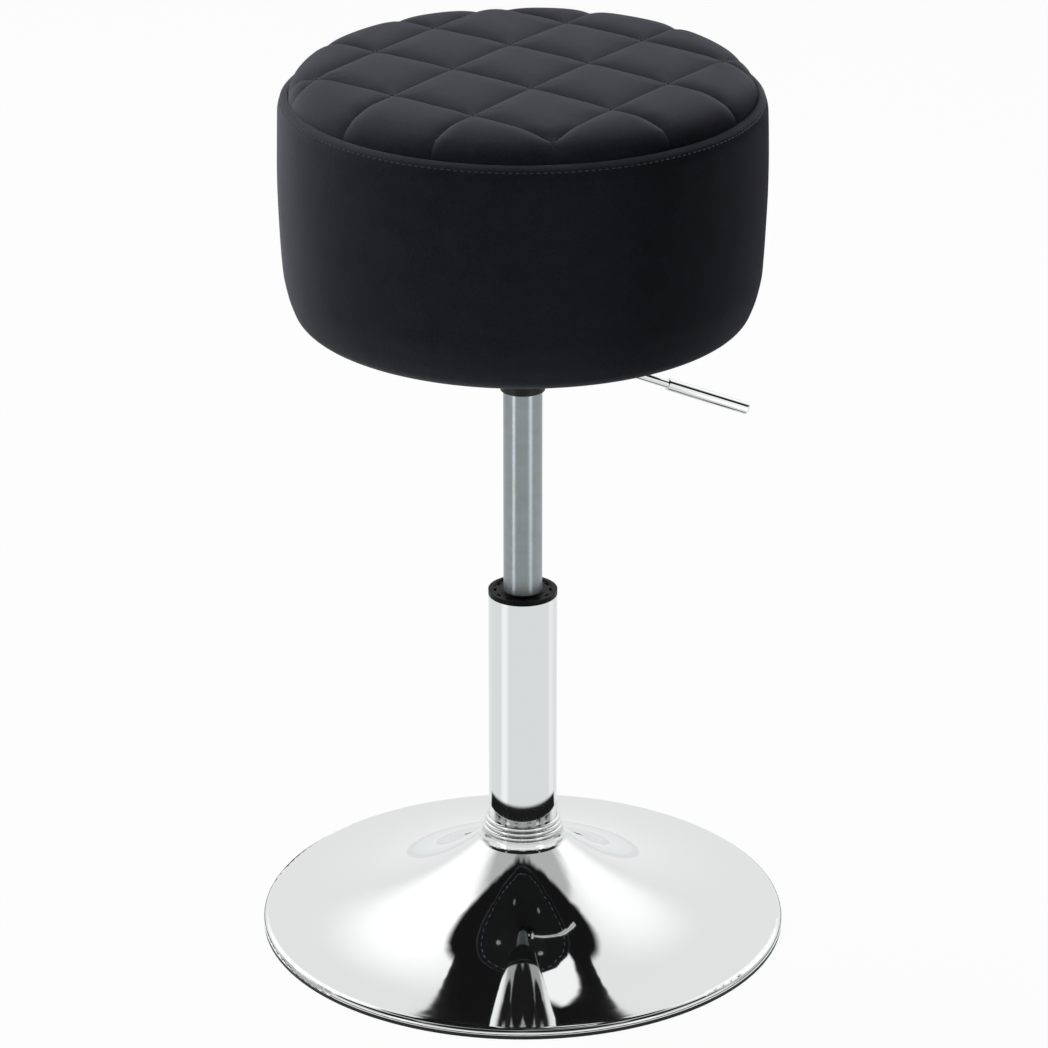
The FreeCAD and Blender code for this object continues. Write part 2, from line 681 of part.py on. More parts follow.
def build_fasteners():
    """Hexagon bolts, their washers and the flanged nuts let into the board."""
    washer_foot = "seat_plate_foot - bolt_washer_thickness"
    head_foot = f"{washer_foot} - bolt_head_height"
    nut_foot = "board_top - tee_nut_length"
    flange_foot = "board_top - tee_nut_flange_thickness"
    bolts, washers, nuts = [], [], []
    shanks = bolt_holes("bolt_diameter / 2", washer_foot, "seat_plate_foot + bolt_length")
    for (x, y), shank in zip(bolt_places(), shanks):
        head = doc.addObject("Part::Prism", "BoltHead")
        bind(head, "Circumradius", "bolt_head_width / 2")
        bind(head, "Height", "bolt_head_height")
        bind(head, "Placement", lever_frame(x, y, head_foot))
        bolts.append(joined(head, shank))
    discs = bolt_holes("bolt_washer_diameter / 2", washer_foot, "seat_plate_foot")
    for disc, hole in zip(discs, bolt_holes("bolt_diameter / 2 + slip_fit", washer_foot, "seat_plate_foot")):
        washers.append(cut(disc, hole))
    barrels = bolt_holes("tee_nut_barrel / 2", nut_foot, "board_top")
    flanges = bolt_holes("tee_nut_flange / 2", flange_foot, "board_top")
    threads = bolt_holes("bolt_diameter / 2 + bearing_play", nut_foot, "board_top")
    for barrel, flange, thread in zip(barrels, flanges, threads):
        nuts.append(cut(joined(barrel, flange), thread))
    keep("plate_bolts", group(bolts))
    keep("plate_washers", group(washers))
    keep("tee_nuts", group(nuts))


def drum(inset):
    """The seat's outer form up to the seam, drawn in by inset along its whole wall."""
    foot = (f"seat_foot_diameter / 2 - ({inset}) * (1 / cos(heel_slope) - tan(heel_slope))",
            f"seat_foot + ({inset})")
    heel = (f"seat_heel_diameter / 2 - ({inset})", f"seat_heel_height + ({inset}) * tan(heel_slope / 2)")
    body = turned([("0", foot[1]), foot, heel,
                   (f"seam_diameter / 2 - ({inset})", "seam_height", "side_bulge"), ("0", "seam_height")])
    round_corner(body, *heel, f"seat_heel_fillet - ({inset})")
    round_corner(body, *foot, f"seat_foot_fillet - ({inset})")
    return body


def build_seat():
    """Board, lining, foam, side band and the quilted top pad."""
    barrels = bolt_holes("tee_nut_barrel / 2 + slip_fit", "board_foot", "board_top")
    recesses = bolt_holes("tee_nut_flange / 2 + slip_fit",
                          "board_top - tee_nut_flange_thickness", "board_top")
    keep("seat_board", cut(upright("board_radius", "board_foot", "board_top"), *barrels, *recesses))
    holes = bolt_holes("bolt_diameter / 2 + soft_gap", "seat_foot", "board_foot")
    keep("dust_cover", cut(upright("hem_radius - soft_gap", "seat_foot", "board_foot"), *holes))
    keep("seat_side_band", cut(drum("0"), drum("cover_thickness"),
                               upright("hem_radius", "seat_foot", "board_foot")))
    keep("seat_foam", cut(drum("cover_thickness + soft_gap"),
                          upright("seam_diameter", "pad_foot", "seam_height"),
                          upright("board_radius + soft_gap", "seat_foot", "board_top")))
    keep("seat_top_panel", top_panel())


def top_panel():
    """Crowned pad with a rounded shoulder and quilted channels that follow the crown."""
    shoulder = sagitta("shoulder_radius", "shoulder_width", "shoulder_rise")
    crown = sagitta("crown_radius", "crown_edge", "crown_rise")
    pad = turned([("0", "pad_foot"), ("pad_radius", "pad_foot"), ("pad_radius", "shoulder_foot"),
                  ("crown_edge", "shoulder_top", shoulder), ("0", "shoulder_top + crown_rise", crown)])
    channels = []
    for family, extra in (("one", "0"), ("two", "quilt_depth_step")):
        ring = f"(crown_radius + quilt_channel_radius - quilt_channel_depth - {extra})"
        half = f"asin(quilt_span / {ring})"
        angle = f"quilt_angle_{family}"
        for number in range(QUILT_CHANNELS):
            offset = f"(quilt_start_{family} + {number} * quilt_pitch_{family})"
            channel = doc.addObject("Part::Torus", "Channel")
            bind(channel, "Radius1", f"sqrt({ring} ^ 2 - {offset} ^ 2)")
            bind(channel, "Radius2", "quilt_channel_radius")
            bind(channel, "Angle3", f"2 * {half}")
            bind(channel, "Placement",
                 f"placement(vector(-{offset} * sin({angle}); {offset} * cos({angle}); crown_centre);"
                 f" rotationz({angle}) * rotationx(90) * rotationz(90 deg - {half}))")
            channels.append(channel)
    return cut(pad, *channels)


def write_parts():
    """Check every object and every piece, then write one file for each piece."""
    doc.recompute()
    failed = [thing.Label for thing in doc.Objects if {"Invalid", "Error"} & set(thing.State)]
    failed += [piece.Label for piece in nodes if piece.Shape.isNull() or not piece.Shape.isValid()]
    if failed:
        raise RuntimeError("pieces that did not build: " + ", ".join(failed))
    os.makedirs("parts", exist_ok=True)
    for piece in nodes:
        piece.Shape.exportStep(f"parts/{piece.Label}.step")
        print(f"{piece.Label}: {len(piece.Shape.Solids)} solids, {piece.Shape.Volume / 1000:.1f} cm3")


build_base()
build_column()
build_bearing()
build_rod()
build_gas_cylinder()
build_mount()
build_lever_bracket()
build_lever()
build_fasteners()
build_seat()
write_parts()
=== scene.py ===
"""Finishes, quilted seat and studio of a swivel bar stool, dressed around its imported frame."""

import logging
import math
from dataclasses import dataclass
from enum import Enum

import bmesh
import bpy
from mathutils import Matrix, Vector, noise


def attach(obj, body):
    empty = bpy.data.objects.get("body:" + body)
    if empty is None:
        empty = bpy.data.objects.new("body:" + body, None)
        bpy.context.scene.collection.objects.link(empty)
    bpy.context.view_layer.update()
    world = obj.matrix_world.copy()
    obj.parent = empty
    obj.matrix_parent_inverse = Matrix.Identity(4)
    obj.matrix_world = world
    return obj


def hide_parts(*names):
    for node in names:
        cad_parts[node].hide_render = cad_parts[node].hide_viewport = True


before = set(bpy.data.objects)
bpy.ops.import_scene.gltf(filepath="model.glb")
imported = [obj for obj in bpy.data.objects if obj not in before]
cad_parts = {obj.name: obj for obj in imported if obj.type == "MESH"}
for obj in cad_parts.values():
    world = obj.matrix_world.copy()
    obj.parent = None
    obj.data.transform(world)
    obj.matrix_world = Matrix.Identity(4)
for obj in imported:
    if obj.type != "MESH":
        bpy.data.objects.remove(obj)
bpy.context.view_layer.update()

LOG = logging.getLogger("bar_stool")
MM = 0.001
UP = Vector((0.0, 0.0, 1.0))
WHITE = "#ffffff"
QUARTER_TURN = 0.25
MeshPart = bmesh.types.BMFace | bmesh.types.BMEdge | bmesh.types.BMVert


class Slot(Enum):
    """Names of material slots of the frame; nothing in the script uses them."""

    VELVET = "velvet"
    LINING = "lining"
    ZINC = "zinc_steel"
    BLACK_STEEL = "black_steel"


def linear(colour: str) -> tuple[float, float, float, float]:
    """Turn an sRGB hex colour into linear light.

    Args:
        colour: Hex colour such as "#1b1c21".

    Returns:
        Red, green, blue and an alpha of 1.
    """
    parts = [int(colour[i:i + 2], 16) / 255 for i in (1, 3, 5)]
    light = [c / 12.92 if c <= 0.04045 else ((c + 0.055) / 1.055) ** 2.4 for c in parts]
    return light[0], light[1], light[2], 1.0


def per_metre(size: float) -> float:
    """Return the texture scale that gives a feature of that size in millimetres."""
    return 1.0 / (size * MM)


def smooth(value: float, low: float, high: float) -> float:
    """Return 0 below low, 1 above high and a soft step between."""
    part = min(max((value - low) / (high - low), 0.0), 1.0)
    return part * part * (3.0 - 2.0 * part)


def add_node(tree: bpy.types.NodeTree, kind: str, inputs: dict | None = None, **settings) -> bpy.types.Node:
    """Add a shader node with its settings and links.

    Args:
        tree: Node tree of a material or the world.
        kind: Blender's type name of the node.
        inputs: Value of each input, or the socket that is linked to it.
        settings: Attributes of the node.

    Returns:
        The new node.
    """
    node = tree.nodes.new(kind)
    for name, value in settings.items():
        setattr(node, name, value)
    for name, value in (inputs or {}).items():
        if isinstance(value, bpy.types.NodeSocket):
            tree.links.new(value, node.inputs[name])
        else:
            node.inputs[name].default_value = value
    return node


@dataclass(frozen=True)
class Finish:
    """A surface: the name of its material, its colour, how rough and how metallic it is."""

    name: str
    colour: str
    roughness: float
    metallic: float = 0.0

    def material(self) -> bpy.types.Material:
        """Return the finish's material, made on first use."""
        made = bpy.data.materials.get(self.name)
        if made is None:
            made = bpy.data.materials.new(self.name)
            made.use_nodes = True
            shader = made.node_tree.nodes["Principled BSDF"]
            shader.inputs["Base Color"].default_value = linear(self.colour)
            shader.inputs["Roughness"].default_value = self.roughness
            shader.inputs["Metallic"].default_value = self.metallic
            self.pattern(made.node_tree, shader)
        return made

    def pattern(self, tree: bpy.types.NodeTree, shader: bpy.types.Node) -> None:
        """Add what varies over the surface.

        Args:
            tree: The material's nodes.
            shader: Its Principled shader.
        """

    def place(self, tree: bpy.types.NodeTree, stretch: tuple = (1.0, 1.0, 1.0)) -> bpy.types.NodeSocket:
        """Return the piece's own coordinates, stretched along its axes."""
        where = add_node(tree, "ShaderNodeTexCoord")
        return add_node(tree, "ShaderNodeMapping",
                        {"Vector": where.outputs["Object"], "Scale": stretch}).outputs["Vector"]

    def roughen(self, tree: bpy.types.NodeTree, shader: bpy.types.Node,
                source: bpy.types.NodeSocket, spread: float) -> None:
        """Let a pattern move the roughness down and up by a share of itself.

        Args:
            tree: The material's nodes.
            shader: Its Principled shader.
            source: The pattern, from 0 to 1.
            spread: The share.
        """
        span = add_node(tree, "ShaderNodeMapRange", {
            "Value": source,
            "To Min": self.roughness * (1.0 - spread),
            "To Max": self.roughness * (1.0 + spread)})
        tree.links.new(span.outputs["Result"], shader.inputs["Roughness"])

    def tint(self, tree: bpy.types.NodeTree, shader: bpy.types.Node, source: bpy.types.NodeSocket,
             window: tuple[float, float], colours: tuple[str, str]) -> None:
        """Let a pattern blend the surface's colour.

        Args:
            tree: The material's nodes.
            shader: Its Principled shader.
            source: The pattern, from 0 to 1.
            window: The part of the pattern's range over which the colour changes.
            colours: Hex colours at the window's start and end.
        """
        ramp = add_node(tree, "ShaderNodeValToRGB", {"Fac": source})
        for stop, position, colour in zip(ramp.color_ramp.elements, window, colours):
            stop.position = position
            stop.color = linear(colour)
        tree.links.new(ramp.outputs["Color"], shader.inputs["Base Color"])

    def emboss(self, tree: bpy.types.NodeTree, shader: bpy.types.Node,
               source: bpy.types.NodeSocket, depth: float, strength: float = 1.0) -> None:
        """Let a pattern raise the surface by a depth in millimetres."""
        bump = add_node(tree, "ShaderNodeBump",
                        {"Height": source, "Distance": depth * MM, "Strength": strength})
        tree.links.new(bump.outputs["Normal"], shader.inputs["Normal"])


@dataclass(frozen=True)
class ChromePlate(Finish):
    """Bright nickel chrome on spun and drawn steel: a clear mirror with a slow waviness."""

    wave: float = 45.0
    wave_depth: float = 0.006
    haze: float = 18.0
    haze_spread: float = 0.5

    def pattern(self, tree: bpy.types.NodeTree, shader: bpy.types.Node) -> None:
        """Add handling haze and the sheet's slow waviness."""
        place = self.place(tree)
        haze = add_node(tree, "ShaderNodeTexNoise",
                        {"Vector": place, "Scale": per_metre(self.haze), "Detail": 3.0})
        self.roughen(tree, shader, haze.outputs["Fac"], self.haze_spread)
        wave = add_node(tree, "ShaderNodeTexNoise",
                        {"Vector": place, "Scale": per_metre(self.wave), "Detail": 1.0})
        self.emboss(tree, shader, wave.outputs["Fac"], self.wave_depth)


@dataclass(frozen=True)
class GroundSteel(Finish):
    """Ground, turned or rolled metal: fine lines that run round the piece or along it."""

    line: float = 0.35
    run: float = 60.0
    depth: float = 0.002
    worn: str = "#5b5c5e"
    streak: float = 0.5
    mottle: float = 9.0
    spread: float = 0.2

    def pattern(self, tree: bpy.types.NodeTree, shader: bpy.types.Node) -> None:
        """Add the tool's lines and a mottled oxide tone."""
        # The lines are drawn coarser than real grinding, which is too fine to show.
        across = self.run / self.line
        lines = add_node(tree, "ShaderNodeTexNoise",
                         {"Vector": self.place(tree, (1.0, 1.0, across)),
                          "Scale": per_metre(self.run), "Detail": 4.0})
        mottle = add_node(tree, "ShaderNodeTexNoise",
                          {"Vector": self.place(tree), "Scale": per_metre(self.mottle), "Detail": 5.0})
        self.roughen(tree, shader, lines.outputs["Fac"], self.spread)
        self.emboss(tree, shader, lines.outputs["Fac"], self.depth)
        # Light spreads across the lines, which go round the axis.
        round_axis = add_node(tree, "ShaderNodeTangent", direction_type="RADIAL", axis="Z")
        tree.links.new(round_axis.outputs["Tangent"], shader.inputs["Tangent"])
        shader.inputs["Anisotropic"].default_value = self.streak
        shader.inputs["Anisotropic Rotation"].default_value = QUARTER_TURN
        self.tint(tree, shader, mottle.outputs["Fac"], (0.35, 0.85), (self.colour, self.worn))


@dataclass(frozen=True)
class Moulded(Finish):
    """A moulded, coated or cast skin: an even colour with a fine grain."""

    grain: float = 0.5
    depth: float = 0.02
    dust: str = "#2a2a2b"
    gloss: float = 0.5
    patch: float = 14.0
    spread: float = 0.15

    def pattern(self, tree: bpy.types.NodeTree, shader: bpy.types.Node) -> None:
        """Add the mould's grain and a little dust in it."""
        place = self.place(tree)
        grain = add_node(tree, "ShaderNodeTexNoise",
                         {"Vector": place, "Scale": per_metre(self.grain), "Detail": 2.0})
        patch = add_node(tree, "ShaderNodeTexNoise",
                         {"Vector": place, "Scale": per_metre(self.patch), "Detail": 4.0})
        shader.inputs["Specular IOR Level"].default_value = self.gloss
        self.emboss(tree, shader, grain.outputs["Fac"], self.depth)
        self.roughen(tree, shader, patch.outputs["Fac"], self.spread)
        self.tint(tree, shader, patch.outputs["Fac"], (0.4, 1.0), (self.colour, self.dust))


@dataclass(frozen=True)
class Velvet(Finish):
    """Cut polyester pile on a knitted back: black from the front, grey where it is seen edge on."""

    nap: str = "#212631"
    pile: float = 1.6
    pile_depth: float = 0.4
    pile_strength: float = 0.5
    stroke: float = 26.0
    brushed: float = 0.5
    sheen: float = 0.86
    sheen_roughness: float = 0.6
    sheen_tint: str = "#c9cad6"
    gloss: float = 0.1

    def pattern(self, tree: bpy.types.NodeTree, shader: bpy.types.Node) -> None:
        """Add the brushed nap, the pile's grain and its sheen."""
        place = self.place(tree)
        # The pile is drawn coarser than its real fibres, which are too fine to show.
        pile = add_node(tree, "ShaderNodeTexNoise",
                        {"Vector": place, "Scale": per_metre(self.pile), "Detail": 3.0, "Roughness": 0.7})
        stroke = add_node(tree, "ShaderNodeTexNoise",
                          {"Vector": place, "Scale": per_metre(self.stroke), "Detail": 5.0, "Roughness": 0.6,
                           "Distortion": 0.6})
        nap = add_node(tree, "ShaderNodeMix", {"Factor": self.brushed, "A": pile.outputs["Fac"],
                                               "B": stroke.outputs["Fac"]})
        self.tint(tree, shader, nap.outputs["Result"], (0.36, 0.64), (self.colour, self.nap))
        self.emboss(tree, shader, pile.outputs["Fac"], self.pile_depth, self.pile_strength)
        # The sheen is even, and the nap's colour makes the brushed patches.
        shader.inputs["Sheen Weight"].default_value = self.sheen
        shader.inputs["Sheen Roughness"].default_value = self.sheen_roughness
        shader.inputs["Sheen Tint"].default_value = linear(self.sheen_tint)
        shader.inputs["Specular IOR Level"].default_value = self.gloss


@dataclass(frozen=True)
class Plywood(Finish):
    """Birch plywood: pale long grain on the faces and dark glue lines between the plies."""

    ply: float = 1.5
    grain: float = 4.0
    glue: str = "#7a5c3a"
    long_grain: float = 0.06
    relief: float = 0.05

    def pattern(self, tree: bpy.types.NodeTree, shader: bpy.types.Node) -> None:
        """Add the grain and the plies."""
        grain = add_node(tree, "ShaderNodeTexNoise",
                         {"Vector": self.place(tree, (self.long_grain, 1.0, self.grain / self.ply)),
                          "Scale": per_metre(self.grain), "Detail": 6.0})
        self.tint(tree, shader, grain.outputs["Fac"], (0.3, 0.6), (self.glue, self.colour))
        self.emboss(tree, shader, grain.outputs["Fac"], self.relief)


@dataclass(frozen=True)
class Nonwoven(Finish):
    """Spunbonded polypropylene lining: flat black felt with rows of bonded points."""

    bond: float = 1.6
    fibre: str = "#19191b"
    fibre_width: float = 0.8
    relief: float = 0.15

    def pattern(self, tree: bpy.types.NodeTree, shader: bpy.types.Node) -> None:
        """Add the bonded points and the loose fibres."""
        points = add_node(tree, "ShaderNodeTexVoronoi",
                          {"Vector": self.place(tree), "Scale": per_metre(self.bond), "Randomness": 0.15})
        fibres = add_node(tree, "ShaderNodeTexNoise",
                          {"Vector": self.place(tree, (0.3, 1.0, 1.0)),
                           "Scale": per_metre(self.fibre_width), "Detail": 3.0})
        self.tint(tree, shader, fibres.outputs["Fac"], (0.35, 0.8), (self.colour, self.fibre))
        self.emboss(tree, shader, points.outputs["Distance"], self.relief)


# Polished chrome plate is a clear, slightly wavy mirror that takes its tones from the room.
CHROME = ChromePlate("chrome_plate_polished", "#d9dad9", 0.03, 1.0)
# Centreless grinding draws the light out into soft streaks along the cylinder.
SATIN_STEEL = GroundSteel("steel_centreless_ground", "#969da2", 0.34, 1.0, worn="#8d928b", streak=0.9)
# Ground bearing steel is bright and clean, with faint rings.
BEARING_STEEL = GroundSteel("bearing_steel_ground", "#b4b5b7", 0.2, 1.0, worn="#9c9da0")
# Mill scale leaves rolled steel dull, dark and blotched.
MILL_STEEL = GroundSteel("mild_steel_mill_scale", "#6f6d6a", 0.5, 1.0, line=1.2, worn="#4b4744", depth=0.02)
# Bright zinc plate is pale and a little cloudy.
ZINC_STEEL = GroundSteel("zinc_plate_bright", "#b9bcc0", 0.32, 1.0, line=0.8, worn="#9a9c9c")
# Turned aluminium is pale, with a soft shine round the axis.
ALUMINIUM = GroundSteel("aluminium_turned", "#c3c5c7", 0.3, 1.0, worn="#aeb0b2")
# Turned brass has the same soft shine in a warm yellow.
BRASS = GroundSteel("brass_turned", "#c8a45c", 0.3, 1.0, worn="#a98443")
# Powder coat is deep black, with a fine pebbled skin and a broad, dim highlight.
POWDER_COAT = Moulded("steel_black_powder_coat", "#070708", 0.45, grain=0.7, depth=0.03,
                      dust="#101011", gloss=0.25)
# Moulded black polypropylene is an even black with hardly any highlight.
BLACK_PLASTIC = Moulded("polypropylene_black_moulded", "#050506", 0.38, grain=0.35, depth=0.015,
                        dust="#0d0d0e", gloss=0.08)
# Moulded rubber is matt black, a little grey where dust lies in it.
RUBBER = Moulded("rubber_black_moulded", "#101011", 0.72, grain=0.6, depth=0.03, dust="#242423")
# Natural nylon is a waxy off-white.
NYLON = Moulded("nylon_natural_moulded", "#d9d4c2", 0.42, grain=0.5, depth=0.01, dust="#c9c2ab")
# Cut foam is a pale cream, and the velvet covers all of it.
FOAM = Moulded("polyurethane_foam_cut", "#d9d4c2", 0.42, grain=0.5, depth=0.01, dust="#c9c2ab")
# Brushed velvet is nearly black face on and turns grey where its pile is seen from the side.
VELVET = Velvet("polyester_velvet_brushed", "#05070b", 0.95)
# Twisted thread that is sunk in the velvet is a dull black line.
THREAD = Moulded("polyester_thread_twisted", "#0b0c0f", 0.7, grain=0.4, depth=0.05, dust="#17181c")
# The thread's grey is a painted highlight added to its own shine, so each topstitch is a small grey bead.
PAINTED_HIGHLIGHT_THREAD = Moulded("polyester_thread_painted_highlight", "#34353a", 0.5, grain=0.4, depth=0.05, dust="#47484e")
# Sanded birch plywood is pale and warm, with fine grain and dark glue lines.
PLYWOOD = Plywood("birch_plywood_sanded", "#c9a877", 0.6)
# Nonwoven lining is flat black felt that shines nowhere.
LINING = Nonwoven("polypropylene_nonwoven", "#08080a", 0.9)

SLOT_FINISH = {
    "chrome": CHROME, "rubber": RUBBER, "black_steel": POWDER_COAT, "raw_steel": MILL_STEEL,
    "bearing_steel": BEARING_STEEL, "zinc_steel": ZINC_STEEL, "satin_steel": SATIN_STEEL,
    "black_plastic": BLACK_PLASTIC, "nylon": NYLON, "aluminium": ALUMINIUM, "brass": BRASS,
    "plywood": PLYWOOD, "lining": LINING, "foam": FOAM, "velvet": VELVET,
}


def dress_frame() -> None:
    """Give every node of the frame the finish of its slot."""
    for name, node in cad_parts.items():
        for place in node.material_slots:
            slot = place.material.name.split(".")[0]
            if slot in SLOT_FINISH:
                place.material = SLOT_FINISH[slot].material()
        LOG.info("dressed %s", name)


def make_piece(name: str, shape: bmesh.types.BMesh, finish: Finish,
               body: str) -> bpy.types.Object:
    """Make a finished piece of a shape and let it ride on a body.

    Args:
        name: Name of the piece.
        shape: Its geometry, in place, which is freed.
        finish: Its surface.
        body: The frame's body that carries it.

    Returns:
        The piece's object.
    """
    mesh = bpy.data.meshes.new(name)
    shape.to_mesh(mesh)
    shape.free()
    mesh.polygons.foreach_set("use_smooth", [True] * len(mesh.polygons))
    mesh.materials.append(finish.material())
    piece = bpy.data.objects.new(name, mesh)
    bpy.context.scene.collection.objects.link(piece)
    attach(piece, body)
    LOG.info("made %s: %d faces", name, len(mesh.polygons))
    return piece


def soften(piece: bpy.types.Object) -> None:
    """Round a soft piece's folds with one subdivision."""
    finer = piece.modifiers.new("soft_folds", "SUBSURF")
    finer.levels = finer.render_levels = 1


@dataclass(frozen=True)
class Corner:
    """A corner of a turned section in millimetres, with the length that its rounding takes off."""

    radius: float
    height: float
    cut: float = 0.0
    segments: int = 6


def turn(section: list[Corner], steps: int, ring: bool = False) -> bmesh.types.BMesh:
    """Turn a section round the stool's axis.

    Args:
        section: Corners of the half section, in order.
        steps: Divisions round the axis.
        ring: Whether the section closes on itself.

    Returns:
        The turned shape.
    """
    shape = bmesh.new()
    verts = [shape.verts.new((c.radius * MM, 0.0, c.height * MM)) for c in section]
    pairs = list(zip(verts, verts[1:])) + ([(verts[-1], verts[0])] if ring else [])
    for pair in pairs:
        shape.edges.new(pair)
    for vert, corner in zip(verts, section):
        if corner.cut:
            bmesh.ops.bevel(shape, geom=[vert], offset=corner.cut * MM, offset_type="OFFSET",
                            segments=corner.segments, profile=0.5, affect="VERTICES", material=-1)
    bmesh.ops.spin(shape, geom=shape.verts[:] + shape.edges[:], cent=(0.0, 0.0, 0.0), axis=UP,
                   dvec=(0.0, 0.0, 0.0), angle=math.tau, steps=steps, use_merge=True)
    bmesh.ops.remove_doubles(shape, verts=shape.verts, dist=1e-6)
    bmesh.ops.recalc_face_normals(shape, faces=shape.faces)
    return shape


def with_corners(faces: list[bmesh.types.BMFace]) -> list[MeshPart]:
    """Return faces with their edges and vertices, each once, in an order that is the same on every run."""
    edges = dict.fromkeys(e for f in faces for e in f.edges)
    verts = dict.fromkeys(v for f in faces for v in f.verts)
    return [*faces, *edges, *verts]


def fix_order(shape: bmesh.types.BMesh) -> None:
    """Sort edges and faces by their vertices, so that every run simulates the same cloth."""
    shape.verts.index_update()
    count = len(shape.verts)

    def rank(part: MeshPart) -> int:
        """Return a number that is made of the part's lowest vertices."""
        low = sorted(v.index for v in part.verts)[:3]
        return sum(index * count ** (len(low) - 1 - place) for place, index in enumerate(low))

    shape.edges.sort(key=rank)
    shape.faces.sort(key=rank)


def around(shape: bmesh.types.BMesh, count: int) -> None:
    """Repeat a whole shape evenly round the stool's axis.

    Args:
        shape: The shape, with its first copy in place.
        count: How many copies there are in the end.
    """
    turns = math.tau * (count - 1) / count
    bmesh.ops.spin(shape, geom=shape.verts[:] + shape.edges[:] + shape.faces[:], cent=(0.0, 0.0, 0.0),
                   axis=UP, dvec=(0.0, 0.0, 0.0), angle=turns, steps=count - 1, use_duplicate=True)


@dataclass(frozen=True)
class QuiltFamily:
    """Parallel quilting lines: direction in degrees, first line's offset and pitch in millimetres."""

    angle: float
    start: float
    pitch: float
    lines: int = 4

    @property
    def normal(self) -> Vector:
        """Direction across the lines."""
        turn_by = math.radians(self.angle)
        return Vector((-math.sin(turn_by), math.cos(turn_by)))

    @property
    def along(self) -> Vector:
        """Direction of the lines."""
        turn_by = math.radians(self.angle)
        return Vector((math.cos(turn_by), math.sin(turn_by)))


@dataclass(frozen=True)
class Stuffing:
    """How the panel's cloth swells: each vertex's mass, the stiffness, the pressure and the frames."""

    mass: float = 0.02
    stretch: float = 12.0
    bending: float = 0.4
    pressure: float = 30.0
    frames: int = 20


